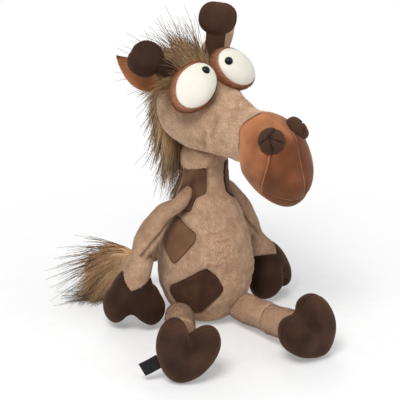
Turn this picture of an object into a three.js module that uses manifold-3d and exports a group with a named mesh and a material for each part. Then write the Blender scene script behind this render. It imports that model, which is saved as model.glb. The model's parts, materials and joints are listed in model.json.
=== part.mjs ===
// Plush giraffe sitting on the floor: cloth skins, their stuffing, hooves, horns, ears, eyes and tail.
// Millimetres, +Z up. The toy looks along -Y, its own left side is +X, and it sits on z = 0.
import * as THREE from "three";
import { mergeVertices } from "three/addons/utils/BufferGeometryUtils.js";
import Module from "manifold-3d";

const wasm = await Module();
wasm.setup();
const { Manifold } = wasm;

const rad = THREE.MathUtils.degToRad;
const lerp = THREE.MathUtils.lerp;
const vec = (x, y, z) => new THREE.Vector3(x, y, z);
const UP = vec(0, 0, 1);

// Cloth and fits
const CLOTH = 2.2; // plush with its short pile
const THIN_CLOTH = 1.4; // smooth velour of eyes, spots and horns
const GAP = 0.3; // clearance between pieces that touch
const STUFFING_GAP = 0.5; // clearance between a skin and the stuffing inside it
const SEAT_DEPTH = 1.6; // how far a limb's round root presses into what carries it
const MOUTH = 1; // how far a hollow runs out past the mouth that it cuts
const TIP = 0.4; // half width at the closed end of a tapering form

// Body
const SEAT_RADIUS = 22; // flat patch under the body
const BELLY_RADIUS = 55.5;
const BELLY_HEIGHT = 60;
const NECK_RADIUS = 25;
const NECK_HEIGHT = 186;
const SHOULDER_SLOPE = 1.25; // above 1 keeps the chest full and the neck long
const PELLET_RADIUS = 40;
const PELLET_HEIGHT = 30;

// Neck joint: a stuffed roll that the head turns and nods on
const ROLL_RADIUS = 29;
const ROLL_DROP = 14; // from the roll's centre down to its flat seat on the neck
const HEAD_YAW = 23;
const HEAD_PITCH = 0;
const HEAD_ROLL = -6;

// Head, measured from the roll's centre; ahead is towards the nose
const CRANIUM_BEHIND = 10;
const CRANIUM_ABOVE = 57;
const CRANIUM_LENGTH = 46; // from the widest section to the back of the head
const CRANIUM_HALF_WIDTH = 44;
const CRANIUM_HALF_HEIGHT = 47;
const SEAM_AHEAD = 80;
const SEAM_ABOVE = 42;
const SEAM_HALF = 29;
const SEAM_PITCH = 4; // degrees that the seam's top leans back
const MUZZLE_HALF_WIDTH = 38;
const MUZZLE_HALF_DEPTH = 40;
const MUZZLE_AHEAD = 44; // from the seam to the end of the drooping nose
const MUZZLE_DROP = 70;
const MUZZLE_FULL = 0.45; // share of the muzzle's length where it is fullest
const MUZZLE_BLUNT = 2.6; // above 2 makes the end blunter than a ball
const NOSTRIL_RADIUS = 14.5;
const NOSTRIL_RISE = 7; // how far a pad stands out
const NOSTRIL_SPREAD = 31; // degrees either side of the nose's ridge
const NOSTRIL_ALONG = 0.28; // share of the muzzle's length

// Eyes
const EYE_SPREAD = 30;
const EYE_AHEAD = 28;
const EYE_ABOVE = 99;
const EYE_LENGTH = 62;
const EYE_WIDTH = 48;
const EYE_DEPTH = 40;
const EYE_SPLAY = 21; // degrees that each eye looks outwards
const EYE_TILT = 16; // degrees that each eye looks up
const EYE_LEAN = 39; // degrees that the tops lean together
const PUPIL_RADIUS = 4.6;
const LEFT_PUPIL_INWARDS = 13; // the left button sits nearer the other eye
const PUPIL_UP = 19; // from the eye's middle towards its inner top
const SHANK_RADIUS = 2;
const SHANK_LENGTH = 11;
const WASHER_RADIUS = 5.5;
const WASHER_THICKNESS = 1.6;
const WASHER_SINK = 2.4; // from the cloth's inside to the washer, for the eye's curve
const PUPIL_STANDS_OUT = 3.4;

// Horns and ears
const HORN_ANGLE = 32; // degrees round the head from its top
const HORN_BEHIND = 6;
const HORN_STEM_HALF = 10;
const HORN_LENGTH = 66; // from the root's centre to the end of the knob
const HORN_KNOB_HALF = 21;
const HORN_KNOB_LENGTH = 34;
const HORN_KNOB_BLUNT = 2.4; // above 2 is blunter than an oval
const HORN_FACE = 45; // degrees to the toy's right that the flat sides look
const HORN_FLATNESS = 0.55; // thickness as a share of width
const LEFT_HORN_LEAN = 8; // degrees from upright
const LEFT_HORN_AWAY = 0; // degrees towards the back that it leans
const RIGHT_HORN_LEAN = 56; // the flopped one
const RIGHT_HORN_AWAY = 45;
const EAR_ANGLE = 50; // degrees round the head from its top
const EAR_BEHIND = 40;
const EAR_SINK = 0.55; // how far an ear's root sinks into the head's nap
const EAR_LENGTH = 66;
const EAR_HALF_WIDTH = 17;
const EAR_FLATNESS = 0.17;
const EAR_FULLNESS = 0.8; // below 1 moves the widest part towards the root
const EAR_BLUNT = 0.8; // below 1 rounds both ends
const LEFT_EAR_RISE = 42; // degrees above level
const RIGHT_EAR_RISE = 40;
const LEFT_EAR_AWAY = -8; // degrees towards the back
const RIGHT_EAR_AWAY = 48;
const LEFT_EAR_LOOK = 36; // degrees from ahead towards the toy's left that the lining looks
const RIGHT_EAR_LOOK = -48;

// Limbs
const RIGHT_SHOULDER_HEIGHT = 150;
const LEFT_SHOULDER_HEIGHT = 138;
const RIGHT_SHOULDER_TURN = 28; // degrees towards the front from the toy's side
const LEFT_SHOULDER_TURN = -33;
const ARM_ROOT_RADIUS = 12.5;
const ARM_RADIUS = 17.5;
const ARM_SWELL = 0.7; // share of the arm's length over which it thickens
const RIGHT_ARM_BENDS = [vec(-58, -13, 141), vec(-78, -8, 108), vec(-87, -3, 62)];
const LEFT_ARM_BENDS = [vec(51, 25, 127), vec(61, 24, 104), vec(72, 23, 74)];
const RIGHT_ARM_END = vec(-89, -2, 42);
const LEFT_ARM_END = vec(88, 20, 44);
const ARM_HOOF_WIDTH = 72;
const ARM_HOOF_HEIGHT = 64;
const ARM_HOOF_THICKNESS = 46;
const RIGHT_ARM_HOOF_TURN = -29; // degrees that the row of toes is turned about the vertical
const LEFT_ARM_HOOF_TURN = 53;
const LEFT_ARM_HOOF_LEAN = 24; // degrees that the toes reach outwards
const ARM_TOES_BELOW_END = 15; // from the arm's end down to the hoof's middle
const HIP_HEIGHT = 27;
const HIP_TURN = 38;
const LEG_RADIUS = 15;
const FOOT_AHEAD = 140; // from the body's axis to the middle of a foot
const RIGHT_FOOT_ASIDE = 77;
const LEFT_FOOT_ASIDE = 69;
const LEG_HOOF_WIDTH = 75;
const LEG_HOOF_HEIGHT = 79;
const LEG_HOOF_THICKNESS = 44;
const FOOT_SPLAY = 17; // degrees that each sole looks outwards
const FOOT_ROLL = 10; // degrees that the feet's tops lean together
const ANKLE_DEPTH = 12; // how far a leg reaches into its hoof
const ANKLE_HEIGHT = 30;
const HOOF_CLEFT = 0.3; // depth of the notch between the toes, as a share of the hoof
const HOOF_TAPER = 0.16; // how much narrower the heel is than the toes
const HOOF_CLEFT_WIDTH = 0.42; // radians either side of the notch
const HOOF_PLUMP = 2.5; // above 2 is boxier than a ball
const HOOF_FLAT = 0.05; // smallest section at the middle of the sole, as a share
const HOOF_SETTLE = 0.5; // flat pressed on the floor

// Tail, manes and label
const TAIL_HEIGHT = 52;
const TAIL_RADIUS = 8;
const TAIL_BENDS = [vec(-22, 74, 51), vec(-46, 79, 48)];
const TAIL_END = vec(-72, 88, 44);
const TUFT_END = vec(-152, 99, 36);
const TUFT_HALF = 34;
const TUFT_OVERLAP = 8; // how far the tuft runs back over the tail
const TUFT_FULLNESS = 0.95; // below 1 moves the fullest part towards the root
const TUFT_BLUNT = 0.7; // below 1 rounds both ends
const MANE_THICKNESS = 9;
const MANE_WIDTH = 26;
const MANE_BOTTOM = 96;
const CREST_HALF_WIDTH = 15;
const CREST_HALF_LENGTH = 78;
const CREST_HALF_HEIGHT = 76;
const CREST_MIDDLE = vec(0, 8, 62); // the oval's middle, from the roll's centre
const CREST_BEHIND = 4; // from the roll's centre back to where the crest starts
const CREST_BOTTOM = 34;
const LABEL_WIDTH = 18;
const LABEL_SHOWS = 13.5; // how much of its width is outside the seam
const LABEL_HEIGHT = 19;
const LABEL_THICKNESS = 0.9;
const LABEL_DROP = 10;
const SPOT_ROUNDING = 0.18; // share of each edge that a corner's curve takes

// Smoothness
const BODY_SIDES = 20;
const BODY_RINGS = 9;
const HEAD_SIDES = 16;
const HEAD_RINGS = 7;
const HEAD_CROWDING = 1.5; // above 1 crowds the rings towards the back of the head
const LIMB_SIDES = 10;
const LIMB_STEPS = 7;
const HORN_STEPS = 10;
const HOOF_POINTS = 14;
const HOOF_STEPS = 6;
const EYE_SIDES = 12;
const SMALL_SIDES = 8;
const BALL_SIDES = 16;
const CORNER_STEPS = 2;

const tan = { color: 0xc9a57a, roughness: 0.95, metalness: 0 };
const brown = { color: 0x46301f, roughness: 0.9, metalness: 0 };
const rust = { color: 0xb5612c, roughness: 0.9, metalness: 0 };
const white = { color: 0xeee9df, roughness: 0.85, metalness: 0 };
const black = { color: 0x0c0b0b, roughness: 0.15, metalness: 0 };
const label = { color: 0x141414, roughness: 0.8, metalness: 0 };
const fibre = { color: 0xf4f3ef, roughness: 1, metalness: 0 };
const pellets = { color: 0xd8dde0, roughness: 0.7, metalness: 0 };
const nylon = { color: 0xdfe2e2, roughness: 0.5, metalness: 0 };
const fur = { color: 0x7d5a3a, roughness: 1, metalness: 0 };

const toy = new THREE.Group();
const head = new THREE.Group();
toy.add(head);

function place(parent, name, geometry, look) {
  const mesh = new THREE.Mesh(geometry, new THREE.MeshStandardMaterial(look));
  mesh.name = name;
  parent.add(mesh);
  return mesh;
}

// Solids: geometry to manifold and back
function solid(geometry) {
  const bare = geometry.clone();
  bare.deleteAttribute("normal");
  bare.deleteAttribute("uv");
  const merged = mergeVertices(bare, 1e-4);
  const mesh = new wasm.Mesh({
    numProp: 3,
    vertProperties: new Float32Array(merged.getAttribute("position").array),
    triVerts: new Uint32Array(merged.index.array),
  });
  mesh.merge();
  return new Manifold(mesh);
}

function geometryOf(manifold) {
  const mesh = manifold.getMesh();
  const geometry = new THREE.BufferGeometry();
  geometry.setAttribute("position", new THREE.BufferAttribute(new Float32Array(mesh.vertProperties), 3));
  geometry.setIndex(new THREE.BufferAttribute(new Uint32Array(mesh.triVerts), 1));
  geometry.computeVertexNormals();
  return geometry;
}

function biggestPiece(manifold) {
  const pieces = manifold.decompose();
  return pieces.reduce((best, piece) => (piece.volume() > best.volume() ? piece : best));
}

// Lofted forms: rings of points that swell and taper along a path
const circle = (sides) => Array.from({ length: sides }, (_, i) => {
  const angle = (2 * Math.PI * i) / sides;
  return [Math.cos(angle), Math.sin(angle)];
});

function ring(centre, across, up, outline) {
  return outline.map(([a, b]) => centre.clone().addScaledVector(across, a).addScaledVector(up, b));
}

function loft(rings) {
  const sides = rings[0].length;
  const points = rings.flat();
  const index = [];
  for (let i = 0; i < rings.length - 1; i += 1) {
    for (let j = 0; j < sides; j += 1) {
      const next = (j + 1) % sides;
      const a = i * sides + j;
      const b = i * sides + next;
      index.push(a, b, a + sides, b, b + sides, a + sides);
    }
  }
  for (const [start, flip] of [[0, true], [(rings.length - 1) * sides, false]]) {
    const middle = points.length;
    const centre = vec(0, 0, 0);
    for (let j = 0; j < sides; j += 1) centre.add(points[start + j]);
    points.push(centre.divideScalar(sides));
    for (let j = 0; j < sides; j += 1) {
      const a = start + j;
      const b = start + ((j + 1) % sides);
      index.push(...(flip ? [b, a, middle] : [a, b, middle]));
    }
  }
  const geometry = new THREE.BufferGeometry();
  geometry.setAttribute("position", new THREE.Float32BufferAttribute(points.flatMap((p) => p.toArray()), 3));
  geometry.setIndex(index);
  if (signedVolume(geometry) < 0) geometry.setIndex(index.reverse());
  return geometry;
}

function signedVolume(geometry) {
  const position = geometry.getAttribute("position");
  const index = geometry.index;
  const [a, b, c] = [vec(0, 0, 0), vec(0, 0, 0), vec(0, 0, 0)];
  let volume = 0;
  for (let i = 0; i < index.count; i += 3) {
    a.fromBufferAttribute(position, index.getX(i));
    b.fromBufferAttribute(position, index.getX(i + 1));
    c.fromBufferAttribute(position, index.getX(i + 2));
    volume += a.dot(b.clone().cross(c)) / 6;
  }
  return volume;
}

// A soft limb along a smooth path. half(distance, length) is its half width; inset shrinks it all round.
// An open limb runs on past its far end, so that a hollow cut with it has a mouth.
function limb(path, half, options) {
  const { facing, inset = 0, open = false, flat = 1, sides = LIMB_SIDES, steps = LIMB_STEPS } = options;
  const curve = new THREE.CatmullRomCurve3(path);
  const length = curve.getLength();
  const first = Math.max(0, inset);
  const last = open ? length : length - inset;
  const rings = [];
  for (let i = 0; i <= steps; i += 1) {
    const distance = lerp(first, last, 0.5 - 0.5 * Math.cos((Math.PI * i) / steps));
    const share = THREE.MathUtils.clamp(distance / length, 0, 1);
    const along = curve.getTangentAt(share);
    const past = open && i === steps ? MOUTH : 0;
    const centre = curve.getPointAt(share).addScaledVector(along, distance - share * length + past);
    const across = facing.clone().cross(along).normalize();
    const up = along.clone().cross(across);
    const size = i === 0 ? 0 : half(distance, length);
    across.multiplyScalar(Math.max(size - inset, TIP));
    up.multiplyScalar(Math.max(size * flat - inset, TIP));
    rings.push(ring(centre, across, up, circle(sides)));
  }
  return solid(loft(rings));
}

// A round end: the half width at a distance from the tip of a dome.
const dome = (radius, distance) =>
  (distance < radius ? Math.sqrt(Math.max(0, radius ** 2 - (radius - distance) ** 2)) : radius);

const smooth = (share) => 0.5 - 0.5 * Math.cos(Math.PI * THREE.MathUtils.clamp(share, 0, 1));

const ball = (centre, radius) =>
  solid(new THREE.SphereGeometry(radius, BALL_SIDES, BALL_SIDES / 2).translate(centre.x, centre.y, centre.z));

// Room for a ball: its facets stay a clearance outside the ball's radius.
const ballRoom = (centre, radius) => ball(centre, (radius + GAP) / Math.cos(Math.PI / BALL_SIDES) ** 2);

// Body
function bodyRadius(height) {
  if (height < BELLY_HEIGHT) {
    const depth = BELLY_HEIGHT / Math.sqrt(1 - (SEAT_RADIUS / BELLY_RADIUS) ** 2);
    return BELLY_RADIUS * Math.sqrt(1 - ((BELLY_HEIGHT - height) / depth) ** 2);
  }
  const share = ((height - BELLY_HEIGHT) / (NECK_HEIGHT - BELLY_HEIGHT)) ** SHOULDER_SLOPE;
  return NECK_RADIUS + (BELLY_RADIUS - NECK_RADIUS) * 0.5 * (1 + Math.cos(Math.PI * share));
}

// The body's outward direction at a height, as [outwards, upwards].
function bodyNormal(height) {
  const step = 0.5;
  const slope = (bodyRadius(height + step) - bodyRadius(height - step)) / (2 * step);
  const size = Math.hypot(1, slope);
  return [1 / size, -slope / size];
}

// A solid of revolution with the body's outline, pushed out (or in) by offset.
function bodyForm(offset, bottom, top) {
  const profile = [new THREE.Vector2(0, bottom)];
  for (let i = 0; i <= BODY_RINGS; i += 1) {
    const height = lerp(bottom, top, i / BODY_RINGS);
    profile.push(new THREE.Vector2(bodyRadius(height) + offset, height));
  }
  profile.push(new THREE.Vector2(0, top));
  return solid(new THREE.LatheGeometry(profile, BODY_SIDES).rotateX(Math.PI / 2));
}

// A point on the body; turn is measured from the toy's front towards its left.
function onBody(turn, height, lift = 0) {
  const [out, up] = bodyNormal(height);
  const radius = bodyRadius(height) + out * lift;
  return vec(radius * Math.sin(rad(turn)), -radius * Math.cos(rad(turn)), height + up * lift);
}

const neckCentre = vec(0, 0, NECK_HEIGHT + GAP + ROLL_DROP);
head.position.copy(neckCentre);
head.rotation.set(rad(HEAD_PITCH), rad(HEAD_ROLL), rad(HEAD_YAW), "ZXY");

// A limb's root: the centre of a ball that sits in a dimple of the body.
const rootOnBody = (turn, height, radius) => onBody(turn, height, radius + GAP - SEAT_DEPTH);
const rightShoulder = rootOnBody(-90 + RIGHT_SHOULDER_TURN, RIGHT_SHOULDER_HEIGHT, ARM_ROOT_RADIUS);
const leftShoulder = rootOnBody(90 - LEFT_SHOULDER_TURN, LEFT_SHOULDER_HEIGHT, ARM_ROOT_RADIUS);
const rightHip = rootOnBody(-90 + HIP_TURN, HIP_HEIGHT, LEG_RADIUS);
const leftHip = rootOnBody(90 - HIP_TURN, HIP_HEIGHT, LEG_RADIUS);
const tailRoot = rootOnBody(180, TAIL_HEIGHT, TAIL_RADIUS);

const dimples = Manifold.union([
  ballRoom(rightShoulder, ARM_ROOT_RADIUS),
  ballRoom(leftShoulder, ARM_ROOT_RADIUS),
  ballRoom(rightHip, LEG_RADIUS),
  ballRoom(leftHip, LEG_RADIUS),
  ballRoom(tailRoot, TAIL_RADIUS),
]);

const bodyOuter = bodyForm(0, 0, NECK_HEIGHT);
const bodyHollow = bodyForm(-CLOTH, CLOTH, NECK_HEIGHT + MOUTH);
place(toy, "body_skin", geometryOf(bodyOuter.subtract(bodyHollow).subtract(dimples)), tan);

const pouch = (clearance) => solid(new THREE.SphereGeometry(1, BALL_SIDES, BALL_SIDES / 2)
  .scale(PELLET_RADIUS + clearance, PELLET_RADIUS + clearance, PELLET_HEIGHT + clearance)
  .translate(0, 0, PELLET_HEIGHT + CLOTH));
const bodyInside = bodyForm(-CLOTH - STUFFING_GAP, CLOTH + GAP, NECK_HEIGHT);
place(toy, "pellet_bag", geometryOf(pouch(0).intersect(bodyInside)), pellets);
place(toy, "body_filling", geometryOf(biggestPiece(bodyInside.subtract(pouch(GAP)))), fibre);

// Neck roll
const rollCut = solid(new THREE.BoxGeometry(4 * ROLL_RADIUS, 4 * ROLL_RADIUS, 2 * ROLL_RADIUS)
  .translate(neckCentre.x, neckCentre.y, NECK_HEIGHT + GAP - ROLL_RADIUS));
place(toy, "neck_roll", geometryOf(ball(neckCentre, ROLL_RADIUS).subtract(rollCut)), tan);

// Head: half sizes of the tan part at a distance ahead of the roll's centre
function headSection(ahead) {
  if (ahead <= -CRANIUM_BEHIND) {
    const share = Math.min(1, (-CRANIUM_BEHIND - ahead) / CRANIUM_LENGTH);
    const round = Math.sqrt(1 - share ** 2);
    return { above: CRANIUM_ABOVE, across: CRANIUM_HALF_WIDTH * round, up: CRANIUM_HALF_HEIGHT * round };
  }
  const share = (ahead + CRANIUM_BEHIND) / (SEAM_AHEAD + CRANIUM_BEHIND);
  const ease = smooth(share);
  return {
    above: lerp(CRANIUM_ABOVE, SEAM_ABOVE, ease),
    across: lerp(CRANIUM_HALF_WIDTH, SEAM_HALF, ease),
    up: lerp(CRANIUM_HALF_HEIGHT, SEAM_HALF, ease),
  };
}

// Muzzle: swells from the seam, droops, and closes in a blunt round end
const muzzlePath = new THREE.CatmullRomCurve3([0, 30, 60, 90].map((turn) => {
  const ahead = MUZZLE_AHEAD * Math.sin(rad(turn));
  const drop = MUZZLE_DROP * (1 - Math.cos(rad(turn)));
  return vec(0, -SEAM_AHEAD - ahead, SEAM_ABOVE - drop);
}));

function muzzleHalf(t, half) {
  if (t < MUZZLE_FULL) return lerp(SEAM_HALF, half, Math.sin((Math.PI / 2) * (t / MUZZLE_FULL)));
  return half * Math.sqrt(1 - ((t - MUZZLE_FULL) / (1 - MUZZLE_FULL)) ** MUZZLE_BLUNT);
}

function muzzleFrame(t) {
  const along = muzzlePath.getTangentAt(t);
  const across = vec(1, 0, 0);
  return { centre: muzzlePath.getPointAt(t), along, across, up: along.clone().cross(across) };
}

// The whole head, pushed out (or in) by offset, from the back of the cranium to the end of the muzzle.
function headForm(offset) {
  const rings = [];
  const back = -CRANIUM_BEHIND - CRANIUM_LENGTH;
  for (let i = 0; i < HEAD_RINGS; i += 1) {
    const share = i / HEAD_RINGS;
    const ahead = lerp(back, SEAM_AHEAD, share ** HEAD_CROWDING);
    const section = headSection(ahead);
    const across = vec(Math.max(section.across + offset, TIP), 0, 0);
    const up = vec(0, 0, Math.max(section.up + offset, TIP));
    const shift = i === 0 ? offset : 0;
    rings.push(ring(vec(0, shift - ahead, section.above), across, up, circle(HEAD_SIDES)));
  }
  for (let i = 0; i <= HEAD_RINGS; i += 1) {
    const t = Math.sin((Math.PI / 2) * (i / HEAD_RINGS));
    const { centre, along, across, up } = muzzleFrame(t);
    const shift = i === HEAD_RINGS ? offset : 0;
    across.multiplyScalar(Math.max(muzzleHalf(t, MUZZLE_HALF_WIDTH) + offset, TIP));
    up.multiplyScalar(Math.max(muzzleHalf(t, MUZZLE_HALF_DEPTH) + offset, TIP));
    rings.push(ring(centre.addScaledVector(along, shift), across, up, circle(HEAD_SIDES)));
  }
  return solid(loft(rings));
}

// A point on the head; angle is measured round the head from its top towards the toy's left.
function onHead(ahead, angle, lift = 0) {
  const at = (distance, turn) => {
    const { across, up, above } = headSection(distance);
    return vec(across * Math.sin(rad(turn)), -distance, above + up * Math.cos(rad(turn)));
  };
  const step = 0.5;
  const alongSide = at(ahead + step, angle).sub(at(ahead - step, angle));
  const roundSide = at(ahead, angle + step).sub(at(ahead, angle - step));
  const normal = roundSide.cross(alongSide).normalize();
  const point = at(ahead, angle);
  const middle = vec(0, -ahead, headSection(ahead).above);
  if (normal.dot(point.clone().sub(middle)) < 0) normal.negate();
  return point.addScaledVector(normal, lift);
}

const headOuter = headForm(0);
const headRoom = headForm(GAP);
const headShell = headOuter.subtract(headForm(-CLOTH));
const headInside = headForm(-CLOTH - STUFFING_GAP);
const socket = ballRoom(vec(0, 0, 0), ROLL_RADIUS);
const seamNormal = vec(0, -Math.cos(rad(SEAM_PITCH)), Math.sin(rad(SEAM_PITCH)));
const seamOffset = seamNormal.dot(vec(0, -SEAM_AHEAD, SEAM_ABOVE));

// The part of a form beyond a plane, and the part before it, half a clearance from the plane.
const beyond = (form, normal, offset) => form.trimByPlane(normal.toArray(), offset + GAP / 2);
const before = (form, normal, offset) => beyond(form, normal.clone().negate(), -offset);

// Horns: flat paddles whose round root rocks in a dimple of the head
function hornHalf(distance, length) {
  const stem = dome(HORN_STEM_HALF, distance);
  const middle = length - HORN_KNOB_LENGTH / 2;
  const share = (distance - middle) / (HORN_KNOB_LENGTH / 2);
  const knob = HORN_KNOB_HALF * Math.sqrt(Math.max(0, 1 - Math.abs(share) ** HORN_KNOB_BLUNT));
  return distance < middle ? Math.max(stem, knob) : knob;
}

function horn(side, lean, away) {
  const root = onHead(-HORN_BEHIND, side * HORN_ANGLE, HORN_STEM_HALF + GAP - SEAT_DEPTH);
  const sideways = vec(side * Math.cos(rad(away)), Math.sin(rad(away)), 0);
  const along = sideways.clone().multiplyScalar(Math.sin(rad(lean))).addScaledVector(UP, Math.cos(rad(lean)));
  const facing = vec(-Math.sin(rad(HORN_FACE)), -Math.cos(rad(HORN_FACE)), 0);
  const distances = [-HORN_STEM_HALF, HORN_LENGTH / 2, HORN_LENGTH];
  const path = distances.map((distance) => root.clone().addScaledVector(along, distance));
  const look = { facing, flat: HORN_FLATNESS, steps: HORN_STEPS, sides: SMALL_SIDES };
  return { root, form: limb(path, hornHalf, look).add(ball(root, HORN_STEM_HALF)) };
}

const rightHorn = horn(-1, RIGHT_HORN_LEAN, RIGHT_HORN_AWAY);
const leftHorn = horn(1, LEFT_HORN_LEAN, LEFT_HORN_AWAY);
const hornDimples = ballRoom(rightHorn.root, HORN_STEM_HALF).add(ballRoom(leftHorn.root, HORN_STEM_HALF));
place(head, "horn_right", geometryOf(rightHorn.form), brown);
place(head, "horn_left", geometryOf(leftHorn.form), brown);

// Eyes: a stuffed oval with a white front and a rust back, and a shanked plastic pupil locked by a washer
function oval(long, wide, deep, frame) {
  const sphere = new THREE.SphereGeometry(1, EYE_SIDES, EYE_SIDES / 2 + 2);
  return solid(sphere.scale(wide, deep, long).applyMatrix4(frame));
}

function eye(side, name, inwards) {
  const turned = new THREE.Euler(-rad(EYE_TILT), -side * rad(EYE_LEAN), side * rad(EYE_SPLAY), "ZXY");
  const frame = new THREE.Matrix4().makeRotationFromEuler(turned);
  frame.setPosition(side * EYE_SPREAD, -EYE_AHEAD, EYE_ABOVE);
  const [halfLong, halfWide, halfDeep] = [EYE_LENGTH / 2, EYE_WIDTH / 2, EYE_DEPTH / 2];
  const shape = (inset) => oval(halfLong - inset, halfWide - inset, halfDeep - inset, frame);
  const outwards = vec(0, -1, 0).transformDirection(frame);
  const offset = outwards.dot(vec(0, 0, 0).applyMatrix4(frame));

  const rise = PUPIL_UP / halfLong;
  const aside = (-side * inwards) / halfWide;
  const out = -Math.sqrt(1 - rise ** 2 - aside ** 2);
  const seat = vec(aside * halfWide, out * halfDeep, PUPIL_UP).applyMatrix4(frame);
  const slope = vec(aside / halfWide, out / halfDeep, rise / halfLong).transformDirection(frame);
  const turn = new THREE.Quaternion().setFromUnitVectors(vec(0, 1, 0), slope);
  const seated = (geometry) => solid(geometry.applyQuaternion(turn).translate(seat.x, seat.y, seat.z));
  const rod = (radius, near, far) => {
    const cylinder = new THREE.CylinderGeometry(radius, radius, near - far, SMALL_SIDES);
    return seated(cylinder.translate(0, (near + far) / 2, 0));
  };
  const button = seated(new THREE.SphereGeometry(1, SMALL_SIDES, SMALL_SIDES)
    .scale(PUPIL_RADIUS, PUPIL_STANDS_OUT, PUPIL_RADIUS));
  const hole = rod(SHANK_RADIUS + GAP, PUPIL_RADIUS, -SHANK_LENGTH - GAP);
  const washerNear = -THIN_CLOTH - WASHER_SINK;
  const washerFar = washerNear - WASHER_THICKNESS;
  const washerRoom = rod(WASHER_RADIUS + GAP, 0, washerFar - GAP);

  const shell = shape(0).subtract(shape(THIN_CLOTH));
  const front = beyond(shell, outwards, offset).subtract(hole);
  const rear = before(shell, outwards, offset).subtract(headRoom);
  const pupil = button.subtract(shape(-GAP)).add(rod(SHANK_RADIUS, PUPIL_STANDS_OUT / 2, -SHANK_LENGTH));
  const washer = rod(WASHER_RADIUS, washerNear, washerFar).subtract(hole);
  const inside = shape(THIN_CLOTH + STUFFING_GAP).subtract(headRoom);
  const filling = inside.subtract(hole).subtract(washerRoom);
  place(head, `eye_white_${name}`, geometryOf(front), white);
  place(head, `eye_back_${name}`, geometryOf(biggestPiece(rear)), rust);
  place(head, `pupil_${name}`, geometryOf(pupil), black);
  place(head, `pupil_washer_${name}`, geometryOf(washer), nylon);
  place(head, `eye_filling_${name}`, geometryOf(biggestPiece(filling)), fibre);
}

eye(-1, "right", 0);
eye(1, "left", LEFT_PUPIL_INWARDS);

// Nostrils: gathered pads on the ridge of the muzzle
for (const [side, name] of [[-1, "right"], [1, "left"]]) {
  const { centre, across, up } = muzzleFrame(NOSTRIL_ALONG);
  const wide = muzzleHalf(NOSTRIL_ALONG, MUZZLE_HALF_WIDTH);
  const deep = muzzleHalf(NOSTRIL_ALONG, MUZZLE_HALF_DEPTH);
  const angle = rad(NOSTRIL_SPREAD);
  const [aside, ahead] = [side * Math.sin(angle), Math.cos(angle)];
  const outwards = across.clone().multiplyScalar(aside).addScaledVector(up, ahead);
  const middle = centre.addScaledVector(across, wide * aside).addScaledVector(up, deep * ahead);
  const turn = new THREE.Quaternion().setFromUnitVectors(vec(0, 1, 0), outwards);
  const pad = solid(new THREE.SphereGeometry(1, EYE_SIDES, SMALL_SIDES)
    .scale(NOSTRIL_RADIUS, NOSTRIL_RISE, NOSTRIL_RADIUS)
    .applyQuaternion(turn)
    .translate(middle.x, middle.y, middle.z));
  place(head, `nostril_${name}`, geometryOf(biggestPiece(pad.subtract(headRoom))), brown);
}

// Ears: a tan back and a rust lining, sewn together on a root that flaps on the head
function earHalf(distance, length) {
  return EAR_HALF_WIDTH * Math.sin(Math.PI * (distance / length) ** EAR_FULLNESS) ** EAR_BLUNT;
}

function ear(side, name, away, rise, look) {
  const root = onHead(-EAR_BEHIND, side * EAR_ANGLE, -EAR_SINK);
  const level = vec(side * Math.cos(rad(away)), Math.sin(rad(away)), 0);
  const along = level.multiplyScalar(Math.cos(rad(rise))).addScaledVector(UP, Math.sin(rad(rise)));
  const path = [0, 0.5, 1].map((share) => root.clone().addScaledVector(along, share * EAR_LENGTH));
  const facing = vec(Math.sin(rad(look)), -Math.cos(rad(look)), 0);
  const leaf = limb(path, earHalf, { facing, flat: EAR_FLATNESS, sides: SMALL_SIDES });
  const front = facing.addScaledVector(along, -facing.dot(along)).normalize();
  const offset = front.dot(root);
  place(head, `ear_lining_${name}`, geometryOf(beyond(leaf, front, offset)), rust);
  place(head, `ear_back_${name}`, geometryOf(before(leaf, front, offset)), tan);
}

ear(-1, "right", RIGHT_EAR_AWAY, RIGHT_EAR_RISE, RIGHT_EAR_LOOK);
ear(1, "left", LEFT_EAR_AWAY, LEFT_EAR_RISE, LEFT_EAR_LOOK);

// Crest of fur from between the horns down the back of the head
const crestFrame = new THREE.Matrix4().setPosition(CREST_MIDDLE);
const crestOval = oval(CREST_HALF_HEIGHT, CREST_HALF_WIDTH, CREST_HALF_LENGTH, crestFrame);
const crestBox = solid(new THREE.BoxGeometry(2 * CREST_HALF_WIDTH, 2 * CREST_HALF_LENGTH, 2 * CREST_HALF_HEIGHT)
  .translate(0, CREST_BEHIND + CREST_HALF_LENGTH, CREST_BOTTOM + CREST_HALF_HEIGHT));
place(head, "crest_fur", geometryOf(biggestPiece(crestOval.intersect(crestBox).subtract(headRoom))), fur);

// Head and muzzle: two skins that meet at the seam round the snout, each with its stuffing
const craniumShell = before(headShell, seamNormal, seamOffset);
place(head, "head_skin", geometryOf(craniumShell.subtract(socket).subtract(hornDimples)), tan);
place(head, "head_filling", geometryOf(before(headInside, seamNormal, seamOffset).subtract(socket)), fibre);
place(head, "muzzle_skin", geometryOf(beyond(headShell, seamNormal, seamOffset)), rust);
place(head, "muzzle_filling", geometryOf(beyond(headInside, seamNormal, seamOffset)), fibre);

// Hooves: plump hearts with two toes and a rounded heel
function hoofOutline() {
  return Array.from({ length: HOOF_POINTS }, (_, i) => {
    const angle = (2 * Math.PI * i) / HOOF_POINTS;
    const fromToes = Math.min(angle, 2 * Math.PI - angle);
    const reach = 1 - HOOF_CLEFT * Math.exp(-((fromToes / HOOF_CLEFT_WIDTH) ** 2));
    const narrow = 1 - HOOF_TAPER * smooth(fromToes / Math.PI);
    return [reach * narrow * Math.sin(angle), reach * Math.cos(angle)];
  });
}

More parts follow.
